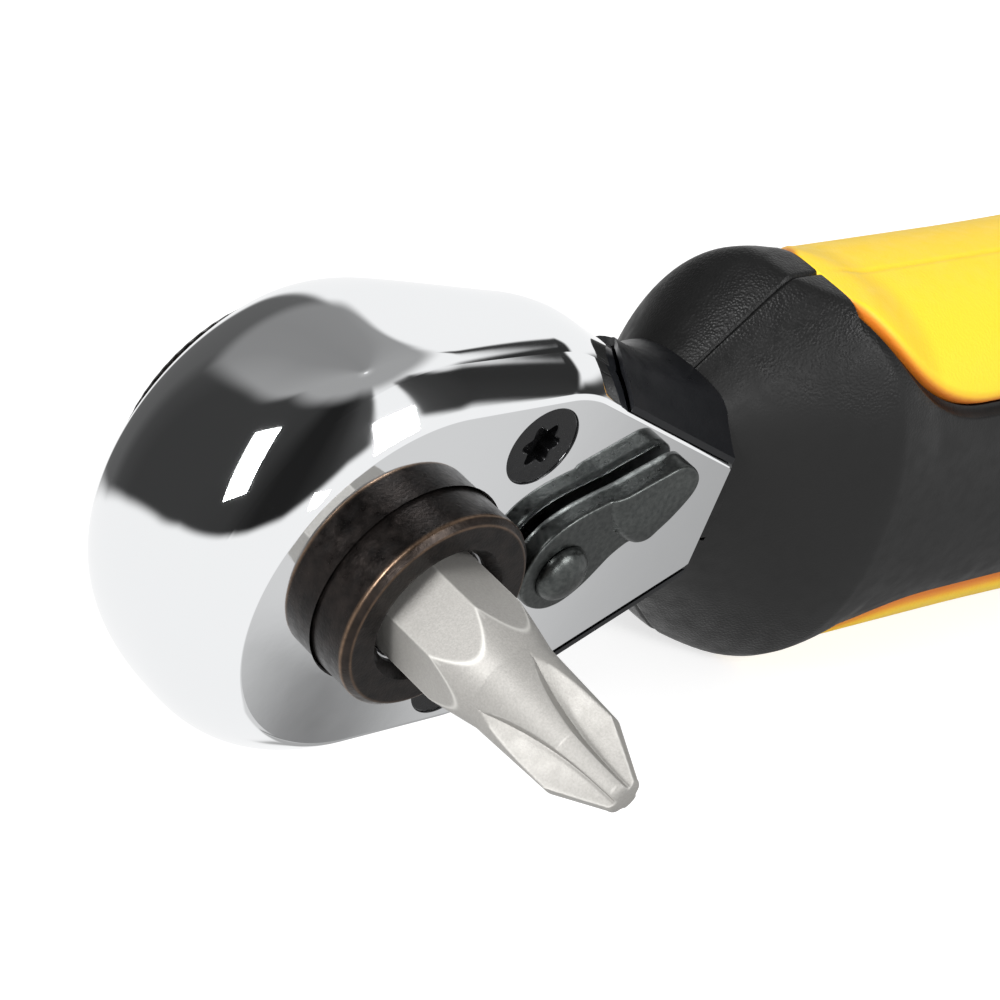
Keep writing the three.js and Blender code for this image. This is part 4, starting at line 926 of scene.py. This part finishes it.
front, back = side_columns(FRONT), side_columns(BACK)
wrap = (front[0][0] + 2 * math.pi, front[0][1])
columns = (front + crest_columns(front[-1], back[0], 1.5 * math.pi, -1)
           + back + crest_columns(back[-1], wrap, 2.5 * math.pi, 1))
skin = np.stack([handle_point(planes, angle, depth) for angle, depth in columns], axis=1)
hub = np.broadcast_to((FLARE_START, HANDLE_AXIS_Y, 0), skin[:1].shape)
skirt = mix(skin[:1], hub, 0.02)
skirt[..., 0] = np.minimum(skin[:1, :, 0], TAIL_X + 0.1)
skin = np.concatenate([hub, skirt, skin])
grain = smooth(np.abs(skin[..., 2]), *GRAIN_RISE) * (1 - GRAIN_LOSS * smooth(skin[..., 0], *GRAIN_FADE))
grid_piece("handle_moulding", skin, "head", ["handle_core"], "handle_plastic", handle_plastic,
           marks={"grain": grain.ravel()}, sharp=60)

# %% [markdown]
# Each inlay is a soft skin that fills its pocket, stands a little proud, rolls down at its border and
# carries the parting line along its crest. It is closed below, and its two ends close to a point on the
# crest.

# %% Yellow inlays
PROUD = 0.2
ROLL = [(0.0, POCKET, 1.0), (0.02, -0.55, 1.0), (0.08, -0.2, 1.0), (0.2, 0.0, 0.8),
        (0.4, 0.13, 0.35), (0.8, PROUD, 0.0)]  # from border, height, painted shade
SEAM = [(-0.3, PROUD), (-0.12, PROUD), (0.0, 0.08), (0.12, PROUD), (0.3, PROUD)]  # from crest, height
TOP_COLUMNS, UNDER_COLUMNS = 20, 12
END_RISE, END_FIT = 1.2, 1.4  # half widths at which an end has its full height and its full edge


def inlay_grid(side):
    """Rows along the tool and columns round the inlay: rolled front edge, top, seam, rolled back edge,
    underside."""
    arms = {face: arm_length(side, face) for face in (FRONT, BACK)}
    wide = np.minimum(*(borders[side, face] * arms[face] for face in (FRONT, BACK))) * opened[side]
    real = smooth(wide, 0, END_RISE)
    fit = np.minimum(1, wide / END_FIT)
    reach = {face: borders[side, face] * (wide > 0) for face in (FRONT, BACK)}
    place = {face: [(face * (reach[face] - step * fit / arms[face]), real * up, painted_groove_shade)
                    for step, up, painted_groove_shade in ROLL] for face in (FRONT, BACK)}
    seam = [(step * fit / arms[BACK], real * up, 0.0) for step, up in SEAM]
    front_top = between(place[FRONT][-1][0], seam[0][0], TOP_COLUMNS, PROUD * real, 0.0)
    back_top = between(seam[-1][0], place[BACK][-1][0], TOP_COLUMNS, PROUD * real, 0.0)
    below = between(place[BACK][0][0], place[FRONT][0][0], UNDER_COLUMNS, POCKET * real, 1.0)
    columns = place[FRONT] + front_top + seam + back_top + place[BACK][::-1] + below
    sheet = [handle_point(planes, side * (math.pi / 2 - off), up) for off, up, _ in columns]
    grid = np.stack(sheet, axis=1)
    there = np.flatnonzero(wide > 0)
    keep = slice(there[0] - 1, there[-1] + 2)
    # Painted shade of each column: full down in the groove, none on the top.
    painted_groove_shade = np.broadcast_to([t for *_, t in columns], grid.shape[:2])
    return grid[keep], painted_groove_shade[keep]


# Each inlay keeps its painted shade as the edge mark on its mesh.
for name, node, side in (("upper_inlay", "grip_upper", 1), ("lower_inlay", "grip_lower", -1)):
    inlay, groove_shade_mark = inlay_grid(side)
    grid_piece(name, inlay, "head", [node], "grip_rubber", grip_rubber,
               marks={"edge": groove_shade_mark.ravel()}, sharp=70)

# %% [markdown]
# ## Inner pieces
# The clips, seal, washer, pawl, plunger and spring stay as measured solids inside the head and only take
# a finish.

# %% Finishes of the inner pieces
INNER_STEEL = ("bit_clip", "thrust_washer", "lever_clip", "pawl", "pawl_plunger", "plunger_spring")
for node, finish in [*((node, inner_steel) for node in INNER_STEEL), ("front_seal", seal_rubber)]:
    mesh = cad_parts[node].data
    mesh.materials.clear()
    mesh.materials.append(finish.material)
print("finished", len(INNER_STEEL) + 1, "inner pieces")

# %% [markdown]
# ## Studio
# The tool is shown on clean white. The world is white to the camera, to mirrors and through glass, and
# gives a plain even light to everything else.

# %% World
PLAIN_LIGHT = 0.42


def background(node, strength):
    """A white background of the given strength, as a shader output."""
    node.inputs["Color"].default_value = (1, 1, 1, 1)
    node.inputs["Strength"].default_value = strength
    return node.outputs["Background"]


def seen_directly(nodes, links):
    """One for rays from the camera, from mirrors and through glass, and zero for all other light."""
    path = nodes.new("ShaderNodeLightPath")
    seen = path.outputs["Is Camera Ray"]
    for ray in ("Is Glossy Ray", "Is Transmission Ray"):
        either = nodes.new("ShaderNodeMath")
        either.operation = "MAXIMUM"
        links.new(seen, either.inputs[0])
        links.new(path.outputs[ray], either.inputs[1])
        seen = either.outputs["Value"]
    return seen


world = bpy.data.worlds.new("white studio")
world.use_nodes = True
bpy.context.scene.world = world
nodes, links = world.node_tree.nodes, world.node_tree.links
choose = nodes.new("ShaderNodeMixShader")
links.new(seen_directly(nodes, links), choose.inputs["Fac"])
links.new(background(nodes["Background"], PLAIN_LIGHT), choose.inputs[1])
links.new(background(nodes.new("ShaderNodeBackground"), 1.0), choose.inputs[2])
links.new(choose.outputs["Shader"], nodes["World Output"].inputs["Surface"])
print("plain light of", PLAIN_LIGHT)

# %% [markdown]
# Chrome only reads as chrome with something dark to reflect, so dark and grey cards stand round the tool
# where a photographer would hang them. They are seen in reflections only: a large tent round the head
# glows with the grey of the card in each direction, and white between the cards.

# %% Cards
HEAD_CENTRE = np.array([0.0, BIT_REACH + 5, 0.0]) / 1000
TENT_RADIUS, TENT_BLUR = 0.9, 4
CARDS = [  # softness in degrees, then bearing, lower edge, upper edge and grey at each corner
    (5, [(66, -32, 80, 0.13), (100, -29, 80, 0.11), (112, -26, 80, 0.06), (127, -22, 80, 0.045),
         (144, -16, 80, 0.045), (157, -11, 80, 0.045), (197, -4, 80, 0.04), (217, 1, 80, 0.015),
         (234, 8, 80, 0.015), (247, 20, 80, 0.03), (257, 30, 80, 0.06), (268, 36, 80, 0.08)]),
    (12, [(27, 53, 91, 0.36), (47, 40, 91, 0.33), (64, 36, 91, 0.28), (90, 27, 91, 0.26),
          (109, 22, 91, 0.27), (127, 36, 91, 0.34), (137, 45, 91, 0.37), (146, 58, 91, 0.38),
          (196, 69, 91, 0.38), (247, 73, 91, 0.38), (290, 70, 91, 0.38), (321, 67, 91, 0.38),
          (360, 58, 91, 0.38), (387, 53, 91, 0.36)]),
    (4, [(296, 40, 69, 0.1), (304, 37, 68, 0.06), (316, 32, 66, 0.045), (325, 30, 60, 0.04),
         (337, 29, 50, 0.03), (349, 29, 41, 0.03), (357, 34, 44, 0.04), (370, 47, 52, 0.05)]),
    (4, [(330, 26, 34, 0.04), (345, 14, 26, 0.04), (360, 4, 12, 0.05), (366, 3, 6, 0.06)]),
    (9, [(-62, -62, -20, 0.72), (20, -62, -20, 0.68)]),
    (4, [(-35, -62, -18, 0.43), (20, -62, -18, 0.4)]),
    (1.6, [(-40.2, -60, -33.8, 0.04), (-37.7, -60, -33.8, 0.04)]),
]


def card_grey(azimuth, elevation):
    """Brightness seen in a direction: white, with each card laid over the ones before by its soft-edged mask.
    The edges and the grey of a card run straight from corner to corner, and the sum is blurred a little along
    the bearing."""
    grey = np.ones_like(azimuth)
    for soft, corners in CARDS:
        bearing, low, high, value = np.array(corners).T
        half, centre = (bearing[-1] - bearing[0]) / 2, (bearing[-1] + bearing[0]) / 2
        off = np.mod(azimuth - centre + 180, 360) - 180 + centre
        low, high, value = (np.interp(off, bearing, knots) for knots in (low, high, value))
        side = smooth(half - np.abs(off - centre), -soft / 2, soft / 2) if half < 180 else 1
        tall = smooth(elevation - low, -soft / 2, soft / 2) * smooth(high - elevation, -soft / 2, soft / 2)
        grey = mix(grey, value, side * tall)
    for _ in range(TENT_BLUR):
        grey = (np.roll(grey, 1, 1) + 2 * grey + np.roll(grey, -1, 1)) / 4
    return grey


azimuth, elevation = np.meshgrid(np.arange(0, 360, 0.75), np.linspace(-89, 89, 180))
a, e = np.radians(azimuth), np.radians(elevation)
outward = np.stack([np.cos(e) * np.cos(a), np.cos(e) * np.sin(a), np.sin(e)], -1)
tent_points = HEAD_CENTRE + TENT_RADIUS * outward
tent_mesh = bpy.data.meshes.new("studio cards")
tent_mesh.from_pydata(tent_points.reshape(-1, 3).tolist(), [], grid_faces(*a.shape, False, True).tolist())
layer = tent_mesh.attributes.new("grey", "FLOAT", "POINT")
layer.data.foreach_set("value", card_grey(azimuth, elevation).ravel().astype(np.float32))
card_material = bpy.data.materials.new("studio cards")
card_material.use_nodes = True
nodes, links = card_material.node_tree.nodes, card_material.node_tree.links
glow, grey = nodes.new("ShaderNodeEmission"), nodes.new("ShaderNodeAttribute")
grey.attribute_name = "grey"
links.new(grey.outputs["Color"], glow.inputs["Color"])
links.new(glow.outputs["Emission"], nodes["Material Output"].inputs["Surface"])
card_material.cycles.emission_sampling = "NONE"
tent_mesh.materials.append(card_material)
tent = bpy.data.objects.new("studio cards", tent_mesh)
bpy.context.collection.objects.link(tent)
tent.visible_camera = tent.visible_diffuse = tent.visible_shadow = False
print("cards in the tent:", len(CARDS))

# %% [markdown]
# The pale floor lies under the flat sides of the head. The camera sees it white, and the part of its
# colour that comes from the lamps keeps the soft shadow of the tool. It is hidden from the chrome, which
# mirrors the cards.

# %% Floor
FLOOR_HALF, FLOOR_HEIGHT = 0.8, -0.0142
FLOOR_GREY, FLOOR_GLOW = 0.5, 0.7

floor_mesh = bpy.data.meshes.new("floor")
corners = FLOOR_HALF * np.array([(-1, -1), (1, -1), (1, 1), (-1, 1)])
floor_mesh.from_pydata([(x, y, FLOOR_HEIGHT) for x, y in corners], [], [(0, 1, 2, 3)])
floor_material = bpy.data.materials.new("pale floor")
floor_material.use_nodes = True
nodes, links = floor_material.node_tree.nodes, floor_material.node_tree.links
surface = nodes["Principled BSDF"]
surface.inputs["Base Color"].default_value = (FLOOR_GREY, FLOOR_GREY, FLOOR_GREY, 1)
surface.inputs["Roughness"].default_value = 0.9
surface.inputs["Specular IOR Level"].default_value = 0
surface.inputs["Emission Color"].default_value = (1, 1, 1, 1)
glow = nodes.new("ShaderNodeMath")
glow.operation = "MULTIPLY"
glow.inputs[1].default_value = FLOOR_GLOW
links.new(seen_directly(nodes, links), glow.inputs[0])
links.new(glow.outputs["Value"], surface.inputs["Emission Strength"])
floor_mesh.materials.append(floor_material)
floor = bpy.data.objects.new("floor", floor_mesh)
bpy.context.collection.objects.link(floor)
floor.visible_glossy = False
print("floor at", FLOOR_HEIGHT)

# %% [markdown]
# A tall soft lamp stands to the left of the tool. It draws the long highlight on the dome and lights the
# bit. A small lamp at the front left lights the shoulder of the head, and a soft one from the front lifts
# the bit, the lever and the handle.

# %% Lamps
LAMP_DISTANCE = 0.6


def soft_lamp(name, azimuth, elevation, size, power, tilt=0):
    """A rectangular lamp that faces the head from a bearing and a height in degrees, tilted in its plane."""
    a, e = math.radians(azimuth), math.radians(elevation)
    away = Vector((math.cos(e) * math.cos(a), math.cos(e) * math.sin(a), math.sin(e)))
    lamp = bpy.data.lights.new(name, "AREA")
    lamp.shape = "RECTANGLE"
    lamp.size, lamp.size_y = size
    lamp.energy = power
    holder = bpy.data.objects.new(name, lamp)
    holder.location = Vector(HEAD_CENTRE) + away * LAMP_DISTANCE
    holder.rotation_mode = "QUATERNION"
    spin = Quaternion((0, 0, 1), math.radians(tilt))
    holder.rotation_quaternion = away.to_track_quat("Z", "Y") @ spin
    bpy.context.collection.objects.link(holder)


soft_lamp("tall lamp", 180, 29, (0.18, 0.38), 5.0, 33)
soft_lamp("shoulder lamp", 249, 15, (0.08, 0.08), 0.7)
soft_lamp("front lamp", -79, 39, (0.2, 0.2), 1.6)
print("lamps at", LAMP_DISTANCE, "m")

# %% [markdown]
# ## Camera
# The camera looks down the left front of the head with a long lens. Its place and direction were fitted
# to the outline of the head, the bit's corners and the holder's rim.

# %% Camera
RIGHT, UP, TOWARD = (0.70921, -0.62305, 0.3299), (0.14388, 0.58601, 0.79742), (-0.69016, -0.51807, 0.50525)
STAND = (-0.133666, -0.085028, 0.106487)

camera = bpy.data.cameras.new("photo camera")
camera.sensor_fit, camera.sensor_width, camera.lens = "HORIZONTAL", 36, 129.1
camera.clip_start = 0.01
viewer = bpy.data.objects.new("photo camera", camera)
viewer.matrix_world = Matrix((*zip(RIGHT, UP, TOWARD, STAND), (0, 0, 0, 1)))
bpy.context.collection.objects.link(viewer)
bpy.context.scene.camera = viewer
bpy.context.scene.view_settings.view_transform = "Standard"
print("camera with a lens of", round(camera.lens, 1), "mm")
